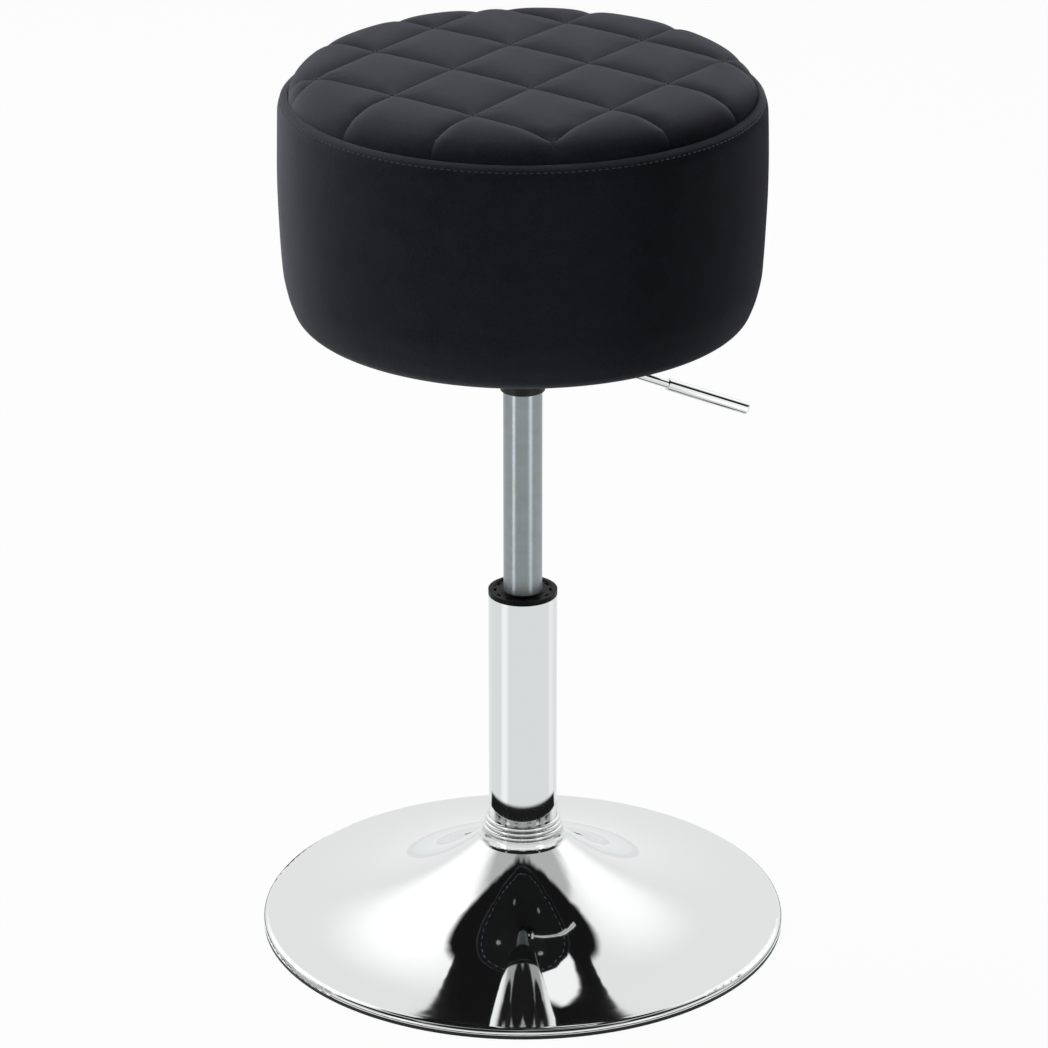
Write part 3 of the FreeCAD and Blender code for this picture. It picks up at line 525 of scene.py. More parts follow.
@dataclass
class QuiltedTop:
    """The quilted panel on top of the seat, its pillows and its sunk stitches. Sizes in millimetres."""

    rings: tuple[float, ...] = (157.2, 159.2, 160.8, 161.9, 162.5)
    trim: float = 155.0
    sides: int = 120
    crown_top: float = 661.4
    crown_edge: float = 131.0
    crown_rise: float = 2.0
    shoulder_rise: float = 22.2
    skirt: float = 6.0
    channel_depth: float = 4.8
    channel_fade: float = 145.0
    edge_depth: float = 3.2
    cells: int = 28
    cut_reach: float = 1.0
    line_reach: float = 0.004
    gather: float = 0.65
    fullness: float = 7.0
    start_height: float = 0.9
    most_swell: float = 2.1
    stuffing: Stuffing = Stuffing()
    stitch: float = 3.2
    stitch_gap: float = 1.3
    thread: float = 0.45
    one: QuiltFamily = QuiltFamily(-39.2, -104.9, 69.6)
    two: QuiltFamily = QuiltFamily(55.6, -102.4, 69.7)

    @property
    def rim(self) -> float:
        """Radius where the panel goes down into the crease."""
        return self.rings[-1]

    def crown(self, radius: float) -> float:
        """Return the height of the full pillows at a radius."""
        if radius <= self.crown_edge:
            return self.crown_top - self.crown_rise * (radius / self.crown_edge) ** 2
        over = min((radius - self.crown_edge) / (self.rim - self.crown_edge), 1.0)
        return self.crown_top - self.crown_rise - self.shoulder_rise * (1.0 - math.sqrt(1.0 - over * over))

    def channel(self, radius: float) -> float:
        """Return how deep the quilting lies below the full pillows at a radius."""
        edge = smooth(radius, self.channel_fade, self.trim)
        return self.channel_depth + (self.edge_depth - self.channel_depth) * edge

    def fraction(self, family: QuiltFamily, point: Vector) -> float:
        """Return where a point lies between two lines of a family, from 0 to 1."""
        return ((point.dot(family.normal) - family.start) / family.pitch) % 1.0

    def quilted(self, point: Vector) -> Vector:
        """Return the point itself, or for one beyond the trim the place on the trim next to it."""
        return point if point.length < self.trim else point.normalized() * self.trim

    def pillow(self, point: Vector) -> float:
        """Return how full the pillow is at a point, 0 on a line of stitches and 1 in the middle."""
        parts = [1.0 - abs(2.0 * self.fraction(family, self.quilted(point)) - 1.0) ** self.fullness
                 for family in (self.one, self.two)]
        return parts[0] * parts[1]

    def flat_sheet(self) -> bmesh.types.BMesh:
        """Return a flat panel, cut round, whose edges follow both families of lines."""
        shape = bmesh.new()
        pitches = self.one.lines + 1
        count = pitches * self.cells
        bmesh.ops.create_grid(shape, x_segments=count, y_segments=count, size=0.5)
        across = Matrix((self.one.normal, self.two.normal)).inverted()
        for vert in shape.verts:
            steps = [(c + 0.5) * pitches for c in vert.co.xy]
            closer = [s - self.gather * math.sin(math.tau * s) / math.tau for s in steps]
            offsets = Vector((self.one.start + (closer[0] - 1.0) * self.one.pitch,
                              self.two.start + (closer[1] - 1.0) * self.two.pitch))
            vert.co.xy = across @ offsets
        self.cut_round(shape)
        for radius in self.rings:
            edges = [e for e in shape.edges if e.is_boundary]
            ring = bmesh.ops.extrude_edge_only(shape, edges=edges)["geom"]
            for vert in (g for g in ring if isinstance(g, bmesh.types.BMVert)):
                vert.co.xy = vert.co.xy.normalized() * radius
        return shape

    def cut_round(self, shape: bmesh.types.BMesh) -> None:
        """Cut the flat grid down to a many-sided round, side by side."""
        for side in range(self.sides):
            turned = math.tau * side / self.sides
            out = Vector((math.cos(turned), math.sin(turned), 0.0))
            faces = [f for f in shape.faces
                     if max(v.co.dot(out) for v in f.verts) > self.trim - self.cut_reach]
            bmesh.ops.bisect_plane(shape, geom=with_corners(faces), dist=1e-4, plane_co=out * self.trim,
                                   plane_no=out, clear_outer=True)

    def on_line(self, point: Vector) -> bool:
        """Say whether a point lies on a line of stitches."""
        parts = [self.fraction(family, self.quilted(point)) for family in (self.one, self.two)]
        return any(min(part, 1.0 - part) < self.line_reach for part in parts)

    def sheet(self) -> tuple[bmesh.types.BMesh, list[int]]:
        """Return the panel with half-filled pillows, and the vertices that its stitches hold."""
        shape = self.flat_sheet()
        crease = shape.edges.layers.float.new("crease_edge")
        sewn = set()
        for vert in shape.verts:
            point = vert.co.xy.copy()
            held = self.on_line(point)
            if held or point.length > self.rings[0]:
                sewn.add(vert)
            fill = 0.0 if held else self.start_height * self.pillow(point)
            vert.co = (point.x, point.y, self.crown(point.length) - self.channel(point.length) * (1.0 - fill))
        for edge in shape.edges:
            if all(self.on_line(v.co.xy) for v in edge.verts):
                edge[crease] = 1.0
        rim_edges = [e for e in shape.edges if e.is_boundary]
        skirt = bmesh.ops.extrude_edge_only(shape, edges=rim_edges)["geom"]
        lower = [g for g in skirt if isinstance(g, bmesh.types.BMVert)]
        bmesh.ops.translate(shape, verts=lower, vec=(0.0, 0.0, -self.skirt))
        sewn.update(lower)
        bmesh.ops.scale(shape, verts=shape.verts, vec=(MM, MM, MM))
        bmesh.ops.recalc_face_normals(shape, faces=shape.faces)
        fix_order(shape)
        return shape, sorted(v.index for v in sewn)

    def swell(self, piece: bpy.types.Object, sewn: list[int]) -> None:
        """Blow the pillows up between their stitches as cloth, and keep the result.

        Args:
            piece: The panel.
            sewn: Indices of the vertices that don't move.
        """
        group = piece.vertex_groups.new(name="stitched")
        group.add(sewn, 1.0, "REPLACE")
        cloth = piece.modifiers.new("stuffing", "CLOTH")
        cloth.settings.vertex_group_mass = group.name
        cloth.settings.mass = self.stuffing.mass
        cloth.settings.tension_stiffness = self.stuffing.stretch
        cloth.settings.compression_stiffness = self.stuffing.stretch
        cloth.settings.bending_stiffness = self.stuffing.bending
        cloth.settings.use_pressure = True
        cloth.settings.uniform_pressure_force = self.stuffing.pressure
        cloth.settings.effector_weights.gravity = 0.0
        cloth.collision_settings.use_collision = False
        scene = bpy.context.scene
        for step in range(1, self.stuffing.frames + 1):
            scene.frame_set(step)
        blown = piece.evaluated_get(bpy.context.evaluated_depsgraph_get()).data
        before = [v.co.copy() for v in piece.data.vertices]
        after = [v.co.copy() for v in blown.vertices]
        piece.modifiers.remove(cloth)
        scene.frame_set(1)
        moves = [b - a for a, b in zip(before, after)]
        LOG.info("swelled by up to %.2f mm", max(m.length for m in moves) / MM)
        most = self.most_swell * MM
        for vert, start, move in zip(piece.data.vertices, before, moves):
            vert.co = start + (move if move.length < most else move * (most / move.length))
        piece.vertex_groups.clear()

    def stitches(self) -> bmesh.types.BMesh:
        """Return the sunk stitches along every line."""
        shape = bmesh.new()
        pace = self.stitch + self.stitch_gap
        for family in (self.one, self.two):
            for number in range(family.lines):
                offset = family.start + number * family.pitch
                half = math.sqrt(self.rings[0] ** 2 - offset ** 2)
                count = int(2.0 * half / pace)
                for index in range(count):
                    ends = [family.normal * offset + family.along * (-half + index * pace + step)
                            for step in (0.0, self.stitch)]
                    heights = [self.crown(e.length) - self.channel(e.length) for e in ends]
                    start, end = (Vector((e.x, e.y, h)) for e, h in zip(ends, heights))
                    self.stitch_at(shape, start * MM, end * MM)
        return shape

    def stitch_at(self, shape: bmesh.types.BMesh, start: Vector, end: Vector) -> None:
        """Add one stitch of thread between two points."""
        run = end - start
        turned = run.to_track_quat("X", "Z").to_matrix().to_4x4()
        size = Matrix.Diagonal((run.length / 2.0, self.thread * MM, self.thread * MM, 1.0))
        bmesh.ops.create_icosphere(shape, subdivisions=1, radius=1.0,
                                   matrix=Matrix.Translation((start + end) / 2.0) @ turned @ size)

    def build(self) -> None:
        """Make the panel and its stitches."""
        shape, sewn = self.sheet()
        panel = make_piece("seat_quilted_top", shape, VELVET, "seat")
        self.swell(panel, sewn)
        soften(panel)
        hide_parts("seat_top_panel")
        make_piece("seat_quilting_stitches", self.stitches(), THREAD, "seat")


@dataclass
class SideCover:
    """The velvet side of the seat with its lip, topstitch and hem. Sizes in millimetres."""

    foot: float = 476.0
    foot_radius: float = 158.0
    foot_cut: float = 9.0
    hem_radius: float = 134.2
    hem_lift: float = 0.6
    heel: float = 500.0
    heel_radius: float = 167.5
    heel_cut: float = 13.0
    seam: float = 641.0
    seam_radius: float = 169.8
    shoulder_drop: float = 9.0
    shoulder_cut: float = 4.2
    lip_inset: float = 3.4
    lip_drop: float = 3.2
    lip_cut: float = 2.8
    crease_radius: float = 162.8
    crease_drop: float = 2.2
    crease_cut: float = 0.9
    crease_lean: float = 0.1
    crease_depth: float = 10.0
    bulge: float = 2.2
    rumples: tuple[tuple[float, float], ...] = ((70.0, 0.5), (24.0, 0.16))
    soft_from: float = 2.0
    thickness: float = 1.6
    steps: int = 192
    tall_edge: float = 40.0
    tall_cuts: int = 14
    back_seam_cuts: tuple[float, ...] = (-2.0, -0.9, 0.0, 0.9, 2.0)
    back_seam_reach: float = 100.0
    back_seam_sink: float = 1.1
    stitch_drop: float = 6.2
    stitch_inset: float = 1.75
    stitch: float = 3.1
    stitch_gap: float = 1.5
    thread: float = 0.42

    def section(self) -> list[Corner]:
        """Return the corners of the cover's section, from the hem to the crease."""
        return [
            Corner(self.hem_radius, self.foot + self.hem_lift),
            Corner(self.foot_radius, self.foot, self.foot_cut, segments=8),
            Corner(self.heel_radius, self.heel, self.heel_cut, segments=8),
            Corner(self.seam_radius, self.seam - self.shoulder_drop, self.shoulder_cut, segments=5),
            Corner(self.seam_radius - self.lip_inset, self.seam - self.lip_drop, self.lip_cut, segments=5),
            Corner(self.crease_radius, self.seam - self.crease_drop, self.crease_cut, segments=4),
            Corner(self.crease_radius - self.crease_lean, self.seam - self.crease_depth),
        ]

    def cover(self) -> bmesh.types.BMesh:
        """Return the cover: turned, bellied out, rumpled and seamed at the back."""
        shape = turn(self.section(), self.steps)
        tall = [e for e in shape.edges
                if abs(e.verts[0].co.z - e.verts[1].co.z) > self.tall_edge * MM]
        bmesh.ops.subdivide_edges(shape, edges=tall, cuts=self.tall_cuts, use_grid_fill=True)
        for level in self.back_seam_cuts:
            behind = [f for f in shape.faces if f.calc_center_median().y > self.back_seam_reach * MM]
            bmesh.ops.bisect_plane(shape, geom=with_corners(behind), dist=1e-6,
                                   plane_co=(level * MM, 0.0, 0.0), plane_no=(1.0, 0.0, 0.0))
        for vert in shape.verts:
            self.settle(vert)
        bmesh.ops.recalc_face_normals(shape, faces=shape.faces)
        return shape

    def settle(self, vert: bmesh.types.BMVert) -> None:
        """Belly a point of the side out, rumple it a little and sink it at the back seam."""
        height = vert.co.z / MM
        radius = vert.co.xy.length / MM
        share = min(max((height - self.heel) / (self.seam - self.heel), 0.0), 1.0)
        outside = smooth(radius, self.crease_radius, self.crease_radius + self.soft_from)
        move = outside * self.bulge * math.sin(math.pi * share)
        rumple = sum(noise.noise(vert.co * per_metre(size)) * depth for size, depth in self.rumples)
        move += outside * rumple * smooth(height, self.foot, self.heel)
        if vert.co.y > 0.0:
            aside = smooth(abs(vert.co.x) / MM, 0.0, self.back_seam_cuts[-1])
            move -= self.back_seam_sink * outside * (1.0 - aside)
        vert.co.xy *= (radius + move) / radius

    def topstitch(self) -> bmesh.types.BMesh:
        """Return the row of stitches below the lip."""
        shape = bmesh.new()
        radius = self.seam_radius - self.stitch_inset
        count = int(math.tau * radius / (self.stitch + self.stitch_gap))
        size = Matrix.Diagonal((self.thread * MM, self.stitch / 2.0 * MM, self.thread * MM, 1.0))
        place = Matrix.Translation((radius * MM, 0.0, (self.seam - self.stitch_drop) * MM))
        bmesh.ops.create_icosphere(shape, subdivisions=2, radius=1.0, matrix=place @ size)
        around(shape, count)
        for vert in shape.verts:
            self.settle(vert)
        return shape

    def build(self) -> None:
        """Make the cover and its topstitch."""
        cover = make_piece("seat_side_cover", self.cover(), VELVET, "seat")
        wall = cover.modifiers.new("cloth_thickness", "SOLIDIFY")
        wall.thickness = self.thickness * MM
        wall.offset = -1.0
        soften(cover)
        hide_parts("seat_side_band", "seat_foam")
        # The topstitch thread's grey colour is a painted highlight.
        make_piece("seat_topstitch", self.topstitch(), PAINTED_HIGHLIGHT_THREAD, "seat")


@dataclass
class Underside:
    """Lining, staples and weld bead under the seat. Sizes in millimetres."""

    lining_radius: float = 138.0
    lining_height: float = 475.5
    lining_hole: float = 4.0
    lining_flat: float = 100.0
    lining_lift: float = 1.2
    lining_edge: float = 20.0
    lining_cuts: int = 6
    pucker: float = 0.45
    pucker_start: float = 105.0
    pucker_steps: int = 6
    puckers: int = 44
    staple_radius: float = 141.0
    staple_width: float = 10.0
    staple_wire: float = 1.1
    staple_sink: float = 0.2
    staple_flat: float = 0.7
    staple_round: float = 0.3
    staples: int = 44
    bead_radius: float = 16.4
    bead_height: float = 472.6
    bead: float = 2.3
    bead_long: float = 1.25
    bead_flat: float = 0.8
    bead_lean: float = 35.0
    bead_scales: int = 34

    def lining(self) -> bmesh.types.BMesh:
        """Return the round lining, puckered between its staples."""
        flat = self.lining_height + self.lining_lift
        shape = turn([Corner(self.lining_hole, flat), Corner(self.lining_flat, flat),
                      Corner(self.lining_radius, self.lining_height)], self.puckers * self.pucker_steps)
        rings = [e for e in shape.edges
                 if abs(e.verts[0].co.xy.length - e.verts[1].co.xy.length) > self.lining_edge * MM]
        bmesh.ops.subdivide_edges(shape, edges=rings, cuts=self.lining_cuts, use_grid_fill=True)
        for vert in shape.verts:
            turned = math.atan2(vert.co.y, vert.co.x)
            near = smooth(vert.co.xy.length / MM, self.pucker_start, self.lining_radius)
            vert.co.z -= near * self.pucker * (0.5 + 0.5 * math.cos(self.puckers * turned)) * MM
        return shape

    def staple_ring(self) -> bmesh.types.BMesh:
        """Return the staples that hold the hem and the lining."""
        shape = bmesh.new()
        wire = self.staple_wire * MM
        height = self.lining_height - self.staple_sink
        place = Matrix.Translation((self.staple_radius * MM, 0.0, height * MM))
        size = Matrix.Diagonal((wire, self.staple_width * MM, wire * self.staple_flat, 1.0))
        bmesh.ops.create_cube(shape, size=1.0, matrix=place @ size)
        bmesh.ops.bevel(shape, geom=shape.edges[:], offset=wire * self.staple_round, offset_type="OFFSET",
                        segments=2, profile=0.5, affect="EDGES", material=-1)
        around(shape, self.staples)
        return shape

    def weld(self) -> bmesh.types.BMesh:
        """Return the weld bead between the socket and the plate, scale by scale."""
        shape = bmesh.new()
        place = Matrix.Translation((self.bead_radius * MM, 0.0, self.bead_height * MM))
        lean = Matrix.Rotation(math.radians(self.bead_lean), 4, "Y")
        size = Matrix.Diagonal((self.bead * MM, self.bead * self.bead_long * MM,
                                self.bead * self.bead_flat * MM, 1.0))
        bmesh.ops.create_uvsphere(shape, u_segments=12, v_segments=8, radius=1.0, matrix=place @ lean @ size)
        around(shape, self.bead_scales)
        return shape

    def build(self) -> None:
        """Make the pieces under the seat."""
        lining = make_piece("seat_lining", self.lining(), LINING, "seat")
        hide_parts("dust_cover")
        make_piece("hem_staples", self.staple_ring(), ZINC_STEEL, "seat")
        make_piece("socket_weld", self.weld(), POWDER_COAT, "seat")


@dataclass(frozen=True)
class SoftBox:
    """A studio lamp in metres: its bearing from the camera's side, height, distance, size and radiance."""

    name: str
    bearing: float
    height: float
    distance: float
    width: float
    length: float
    radiance: float


@dataclass(frozen=True)
class Patch:
    """A round patch of the room in degrees, with a soft edge, and its radiance in polished metal.

    The bearing is turned to the right from straight behind the stool.
    """

    bearing: float
    elevation: float
    radius: float
    edge: float
    radiance: float

    def share(self, tree: bpy.types.NodeTree, direction: bpy.types.NodeSocket) -> bpy.types.NodeSocket:
        """Return how far a direction lies in the patch, from 0 to 1.

        Args:
            tree: Node tree that is added to.
            direction: A direction of unit length.

        Returns:
            The socket with the share.
        """
        turned, lifted = math.radians(self.bearing), math.radians(self.elevation)
        towards = (math.sin(turned) * math.cos(lifted), math.cos(turned) * math.cos(lifted), math.sin(lifted))
        near = add_node(tree, "ShaderNodeVectorMath", {0: direction, 1: towards}, operation="DOT_PRODUCT")
        step = add_node(tree, "ShaderNodeMapRange", {
            "Value": near.outputs["Value"],
            "From Min": math.cos(math.radians(self.radius + self.edge)),
            "From Max": math.cos(math.radians(max(self.radius - self.edge, 0.0)))},
            interpolation_type="SMOOTHSTEP")
        return step.outputs["Result"]


def layered(tree: bpy.types.NodeTree, direction: bpy.types.NodeSocket, ground: float,
            patches: tuple[Patch, ...]) -> bpy.types.NodeSocket:
    """Lay patches over an even radiance, the later ones on top.

    Args:
        tree: Node tree that is added to.
        direction: A direction of unit length.
        ground: Radiance outside all patches.
        patches: The patches.

    Returns:
        The socket with the radiance.
    """
    level = ground
    for patch in patches:
        level = add_node(tree, "ShaderNodeMix", {"Factor": patch.share(tree, direction), "A": level,
                                                 "B": patch.radiance}).outputs["Result"]
    return level


@dataclass
class Studio:
    """Floor, lamps, surroundings and camera. Metres and radians."""

    aim: Vector = Vector((0.0, 0.0, 0.4))
    camera_place: Vector = Vector((0.0, -3.1156, 1.6112))
    camera_pitch: float = 0.394386
    focal_pixels: float = 4697.57
    frame_pixels: float = 1048.0
    axis_pixel: float = 522.8
    sensor: float = 36.0
    floor_size: float = 30.0
    floor_glow: float = 0.88
    floor_radiance: float = 1.09
    paper_colour: str = "#b8b8b8"
    daylight: float = 0.045
    room_side: float = 0.62
    room_colour: str = "#fbfbfc"
    gap_width: float = 0.23
    gap_foot: float = 0.28
    gap_start: float = 0.53
    gap_curve: float = 1.6
    gap_limit: float = 0.8
    gap_edge: float = 0.004
    gap_radiance: float = 0.01
    sliver_left: float = 0.03
    sliver_foot: float = 0.67
    sliver_width: float = 0.27
    sliver_edge: float = 0.01
    sliver_radiance: float = 1.3
    # A dark ring of painted shade on the floor, which only the metal sees.
    ring_start: float = 0.203
    ring_start_edge: float = 0.002
    ring_end: float = 0.231
    ring_end_edge: float = 0.003
    ring_back: float = 0.12
    ring_back_edge: float = 0.02
    ring_radiance: float = 0.015
    lamps: tuple[SoftBox, ...] = (
        SoftBox("left_strip", -55.0, 1.1, 2.3, 0.45, 2.0, 3.4),
        SoftBox("overhead", 215.0, 2.4, 1.35, 1.8, 1.6, 2.9),
    )
    panels: tuple[Patch, ...] = (
        # A low bright ring in front of the stool and at its sides.
        *(Patch(bearing, 2.0, 20.0, 5.0, 1.15)
          for bearing in (100.0, 127.0, 154.0, 180.0, -154.0, -127.0, -100.0)),
        # The dark upper part of the room, in front and at the sides.
        Patch(158.0, 46.0, 20.0, 2.0, 0.02),
        Patch(-158.0, 46.0, 20.0, 2.0, 0.02),
        *(Patch(bearing, 34.0, 10.0, 2.0, 0.03) for bearing in (75.0, 92.0, 125.0, -125.0, -92.0, -75.0)),
        Patch(108.0, 43.0, 13.0, 2.0, 0.02),
        Patch(-108.0, 43.0, 13.0, 2.0, 0.02),
        # Two small lights low in front.
        Patch(-128.0, 18.0, 7.0, 4.0, 1.6),
        Patch(128.0, 18.0, 6.0, 4.0, 1.6),
        # The bright wall behind, with a glow on each side of it.
        Patch(0.0, 28.0, 55.0, 2.5, 1.1),
        Patch(-48.0, 40.0, 20.0, 14.0, 1.65),
        Patch(50.0, 34.0, 17.0, 13.0, 1.5),
        # The dark overhead.
        Patch(0.0, 82.0, 26.0, 1.5, 0.01),
    )
    # Pools and bars of painted light on the floor, which only the metal sees.
    pool_colour: str = "#fbfeff"
    near_floor: float = 1.0
    pools: tuple[Patch, ...] = (
        Patch(-118.0, 0.0, 9.0, 8.0, 1.25),
        Patch(72.0, 0.0, 9.0, 9.0, 1.15),
    )
    bars_start: float = 0.63
    bars_edge: float = 0.04
    far_floor: float = 0.95
    bars: tuple[Patch, ...] = (
        Patch(-126.0, 0.0, 5.0, 5.0, 4.0),
        Patch(134.0, 0.0, 7.0, 6.0, 3.2),
    )

    def camera(self) -> None:
        """Set the camera at the photograph's view."""
        data = bpy.data.cameras.new("camera")
        data.sensor_width = self.sensor
        data.lens = self.focal_pixels * self.sensor / self.frame_pixels
        data.shift_x = (self.frame_pixels / 2.0 - self.axis_pixel) / self.frame_pixels
        camera = bpy.data.objects.new("camera", data)
        camera.location = self.camera_place
        camera.rotation_euler = (math.pi / 2.0 - self.camera_pitch, 0.0, 0.0)
        bpy.context.scene.collection.objects.link(camera)
        bpy.context.scene.camera = camera

    def lamp(self, box: SoftBox) -> None:
        """Hang one soft box."""
        data = bpy.data.lights.new(box.name, "AREA")
        data.shape = "RECTANGLE"
        data.size, data.size_y = box.width, box.length
        data.energy = box.radiance * math.pi * box.width * box.length
        lamp = bpy.data.objects.new(box.name, data)
        bearing = math.radians(box.bearing)
        lamp.location = (box.distance * math.sin(bearing), -box.distance * math.cos(bearing), box.height)
        lamp.rotation_euler = (self.aim - lamp.location).to_track_quat("-Z", "Y").to_euler()
        lamp.visible_camera = False
        # Polished metal mirrors the room's panels and not the lamps.
        lamp.visible_glossy = False
        bpy.context.scene.collection.objects.link(lamp)

    def gap(self, tree: bpy.types.NodeTree, axes: bpy.types.bpy_prop_collection) -> bpy.types.NodeSocket:
        """Return the dark gap between the two panels behind the stool, which widens upwards.

        Args:
            tree: The world's nodes.
            axes: Outputs with the direction's parts.

        Returns:
            The socket with 1 in the gap and 0 beside it.
        """
        rise = add_node(tree, "ShaderNodeMath", {0: axes["Z"], 1: axes["Y"]}, operation="DIVIDE").outputs[0]
        above = add_node(tree, "ShaderNodeMath", {0: rise, 1: self.gap_foot}, operation="SUBTRACT").outputs[0]
        upward = add_node(tree, "ShaderNodeMath", {0: above, 1: 0.0}, operation="MAXIMUM").outputs[0]
        curve = add_node(tree, "ShaderNodeMath", {0: upward, 1: self.gap_curve}, operation="POWER").outputs[0]
        aside = add_node(tree, "ShaderNodeMath", {0: axes["X"], 1: axes["Y"]}, operation="DIVIDE").outputs[0]
        apart = add_node(tree, "ShaderNodeMath", {0: aside}, operation="ABSOLUTE").outputs[0]
        wide = add_node(tree, "ShaderNodeMath", {0: curve, 1: self.gap_width},
                        operation="MULTIPLY").outputs[0]
        width = add_node(tree, "ShaderNodeMath", {0: wide, 1: self.gap_limit}, operation="MINIMUM").outputs[0]
        beside = add_node(tree, "ShaderNodeMath", {0: width, 1: apart}, operation="SUBTRACT").outputs[0]
        begun = add_node(tree, "ShaderNodeMath", {0: rise, 1: self.gap_start},
                         operation="SUBTRACT").outputs[0]
        inside = add_node(tree, "ShaderNodeMath", {0: beside, 1: begun}, operation="MINIMUM").outputs[0]
        return add_node(tree, "ShaderNodeMapRange", {"Value": inside, "From Max": self.gap_edge},
                        interpolation_type="SMOOTHSTEP").outputs["Result"]

    def sliver(self, tree: bpy.types.NodeTree, axes: bpy.types.bpy_prop_collection) -> bpy.types.NodeSocket:
        """Return the bright sliver of a lamp in the gap, right of the column.

        Args:
            tree: The world's nodes.
            axes: Outputs with the direction's parts.

        Returns:
            The socket with 1 in the sliver and 0 beside it.
        """
        above = add_node(tree, "ShaderNodeMath", {0: axes["Y"], 1: -self.sliver_foot, 2: axes["Z"]},
                         operation="MULTIPLY_ADD").outputs[0]
        right = add_node(tree, "ShaderNodeMath", {0: above, 1: self.sliver_width},
                         operation="MULTIPLY").outputs[0]
        below = add_node(tree, "ShaderNodeMath", {0: right, 1: axes["X"]}, operation="SUBTRACT").outputs[0]
        beside = add_node(tree, "ShaderNodeMath", {0: axes["Y"], 1: -self.sliver_left, 2: axes["X"]},
                          operation="MULTIPLY_ADD").outputs[0]
        inside = add_node(tree, "ShaderNodeMath", {0: below, 1: beside}, operation="MINIMUM").outputs[0]
        behind = add_node(tree, "ShaderNodeMath", {0: inside, 1: axes["Y"]}, operation="MINIMUM").outputs[0]
        return add_node(tree, "ShaderNodeMapRange", {"Value": behind, "From Max": self.sliver_edge},
                        interpolation_type="SMOOTHSTEP").outputs["Result"]

    def surroundings(self) -> None:
        """Make the white room that the camera sees and the panels that the metal mirrors."""
        world = bpy.data.worlds.new("white_room")
        bpy.context.scene.world = world
        world.use_nodes = True
        tree = world.node_tree
        tree.nodes.clear()
        ray = add_node(tree, "ShaderNodeLightPath")
        direction = add_node(tree, "ShaderNodeTexCoord").outputs["Generated"]
        panels = layered(tree, direction, self.room_side, self.panels)
        axes = add_node(tree, "ShaderNodeSeparateXYZ", {"Vector": direction}).outputs
        parted = add_node(tree, "ShaderNodeMix", {"Factor": self.gap(tree, axes), "A": panels,
                                                  "B": self.gap_radiance}).outputs["Result"]
        radiance = add_node(tree, "ShaderNodeMix", {"Factor": self.sliver(tree, axes), "A": parted,
                                                    "B": self.sliver_radiance}).outputs["Result"]
        seen = add_node(tree, "ShaderNodeBackground", {"Color": linear(WHITE), "Strength": 1.0})
        mirrored = add_node(tree, "ShaderNodeBackground", {"Color": linear(self.room_colour),
                                                           "Strength": radiance})
        lit = add_node(tree, "ShaderNodeBackground", {"Color": linear(WHITE), "Strength": self.daylight})
        metal = add_node(tree, "ShaderNodeMixShader", {
            "Fac": ray.outputs["Is Glossy Ray"], 1: lit.outputs[0], 2: mirrored.outputs[0]})
        clear = add_node(tree, "ShaderNodeMixShader", {
            "Fac": ray.outputs["Is Transmission Ray"], 1: metal.outputs[0], 2: seen.outputs[0]})
        final = add_node(tree, "ShaderNodeMixShader", {
            "Fac": ray.outputs["Is Camera Ray"], 1: clear.outputs[0], 2: seen.outputs[0]})
        add_node(tree, "ShaderNodeOutputWorld", {"Surface": final.outputs[0]})

    def mirrored_floor(self, tree: bpy.types.NodeTree) -> bpy.types.NodeSocket:
        """Return the floor's painted light and shade for the metal: a dark ring round the base, light pools
        and far bars.

        Args:
            tree: The paper's nodes.

        Returns:
            The socket with the radiance.
        """
        place = add_node(tree, "ShaderNodeTexCoord").outputs["Object"]
        direction = add_node(tree, "ShaderNodeVectorMath", {0: place},
                             operation="NORMALIZE").outputs["Vector"]
        away = add_node(tree, "ShaderNodeVectorMath", {0: place}, operation="LENGTH").outputs["Value"]
        back = add_node(tree, "ShaderNodeSeparateXYZ", {"Vector": place}).outputs["Y"]
        beyond = add_node(tree, "ShaderNodeMapRange", {
            "Value": away, "From Min": self.ring_end - self.ring_end_edge,
            "From Max": self.ring_end + self.ring_end_edge, "To Min": self.ring_radiance})
        within = add_node(tree, "ShaderNodeMapRange", {
            "Value": away, "From Min": self.ring_start + self.ring_start_edge,
            "From Max": self.ring_start - self.ring_start_edge})
        behind = add_node(tree, "ShaderNodeMapRange", {
            "Value": back, "From Min": self.ring_back, "From Max": self.ring_back + self.ring_back_edge})
        sides = add_node(tree, "ShaderNodeMath", {0: within.outputs["Result"], 1: behind.outputs["Result"]},
                         operation="MAXIMUM")
        clear = add_node(tree, "ShaderNodeMath", {0: beyond.outputs["Result"], 1: sides.outputs[0]},
                         operation="MAXIMUM")
        pools = layered(tree, direction, self.near_floor, self.pools)
        near = add_node(tree, "ShaderNodeMath", {0: pools, 1: clear.outputs[0]}, operation="MULTIPLY")
        far = add_node(tree, "ShaderNodeMapRange", {
            "Value": away, "From Min": self.bars_start, "From Max": self.bars_start + self.bars_edge})
        bars = layered(tree, direction, self.far_floor, self.bars)
        return add_node(tree, "ShaderNodeMix", {"Factor": far.outputs["Result"], "A": near.outputs[0],
                                                "B": bars}).outputs["Result"]

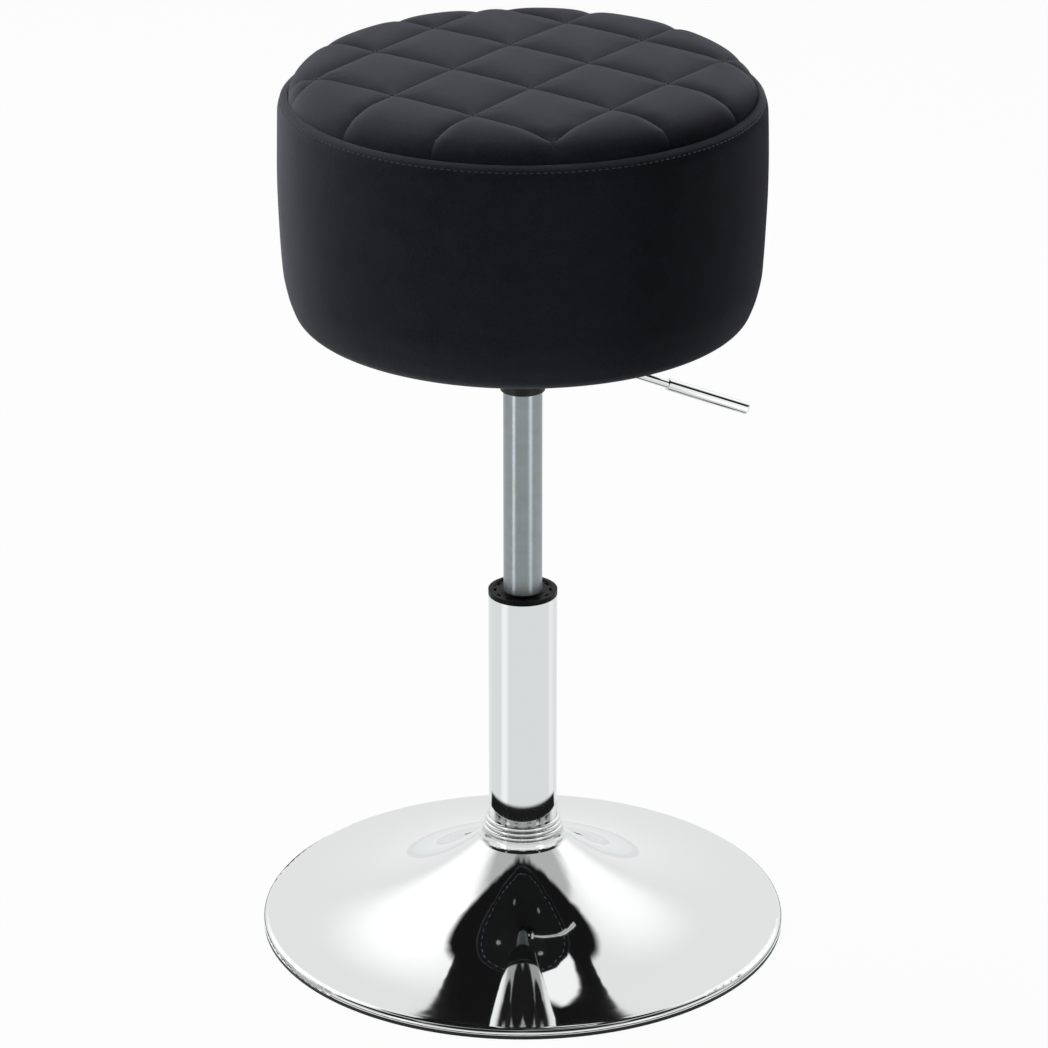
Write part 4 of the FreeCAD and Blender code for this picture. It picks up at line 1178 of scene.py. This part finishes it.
    def paper(self) -> bpy.types.Material:
        """Return the floor's matt paper, which the camera sees as white but for the stool's shadow."""
        material = bpy.data.materials.new("paper_sweep_matt")
        material.use_nodes = True
        tree = material.node_tree
        tree.nodes.clear()
        ray = add_node(tree, "ShaderNodeLightPath")
        matt = add_node(tree, "ShaderNodeBsdfDiffuse", {"Color": linear(self.paper_colour)})
        glow = add_node(tree, "ShaderNodeEmission", {"Color": linear(WHITE), "Strength": self.floor_radiance})
        # Glossy rays see the paper glow with the painted ring, pools and bars.
        pooled = add_node(tree, "ShaderNodeEmission", {"Color": linear(self.pool_colour),
                                                       "Strength": self.mirrored_floor(tree)})
        views = add_node(tree, "ShaderNodeMath", {0: ray.outputs["Is Camera Ray"],
                                                  1: ray.outputs["Is Transmission Ray"]}, operation="ADD")
        share = add_node(tree, "ShaderNodeMath", {0: views.outputs[0], 1: self.floor_glow},
                         operation="MULTIPLY")
        seen = add_node(tree, "ShaderNodeMixShader", {
            "Fac": share.outputs[0], 1: matt.outputs[0], 2: glow.outputs[0]})
        both = add_node(tree, "ShaderNodeMixShader", {
            "Fac": ray.outputs["Is Glossy Ray"], 1: seen.outputs[0], 2: pooled.outputs[0]})
        add_node(tree, "ShaderNodeOutputMaterial", {"Surface": both.outputs[0]})
        return material

    def floor(self) -> None:
        """Lay the pale floor."""
        shape = bmesh.new()
        bmesh.ops.create_grid(shape, x_segments=1, y_segments=1, size=self.floor_size / 2.0)
        mesh = bpy.data.meshes.new("paper_floor")
        shape.to_mesh(mesh)
        shape.free()
        mesh.materials.append(self.paper())
        floor = bpy.data.objects.new("paper_floor", mesh)
        bpy.context.scene.collection.objects.link(floor)

    def build(self) -> None:
        """Set up the whole studio."""
        self.camera()
        for box in self.lamps:
            self.lamp(box)
        self.surroundings()
        self.floor()
        bpy.context.scene.view_settings.view_transform = "Standard"
        LOG.info("studio ready")


def main() -> None:
    """Build the studio and dress the stool."""
    logging.basicConfig(level=logging.INFO, format="%(message)s")
    Studio().build()
    dress_frame()
    QuiltedTop().build()
    SideCover().build()
    Underside().build()


if __name__ == "__main__":
    main()
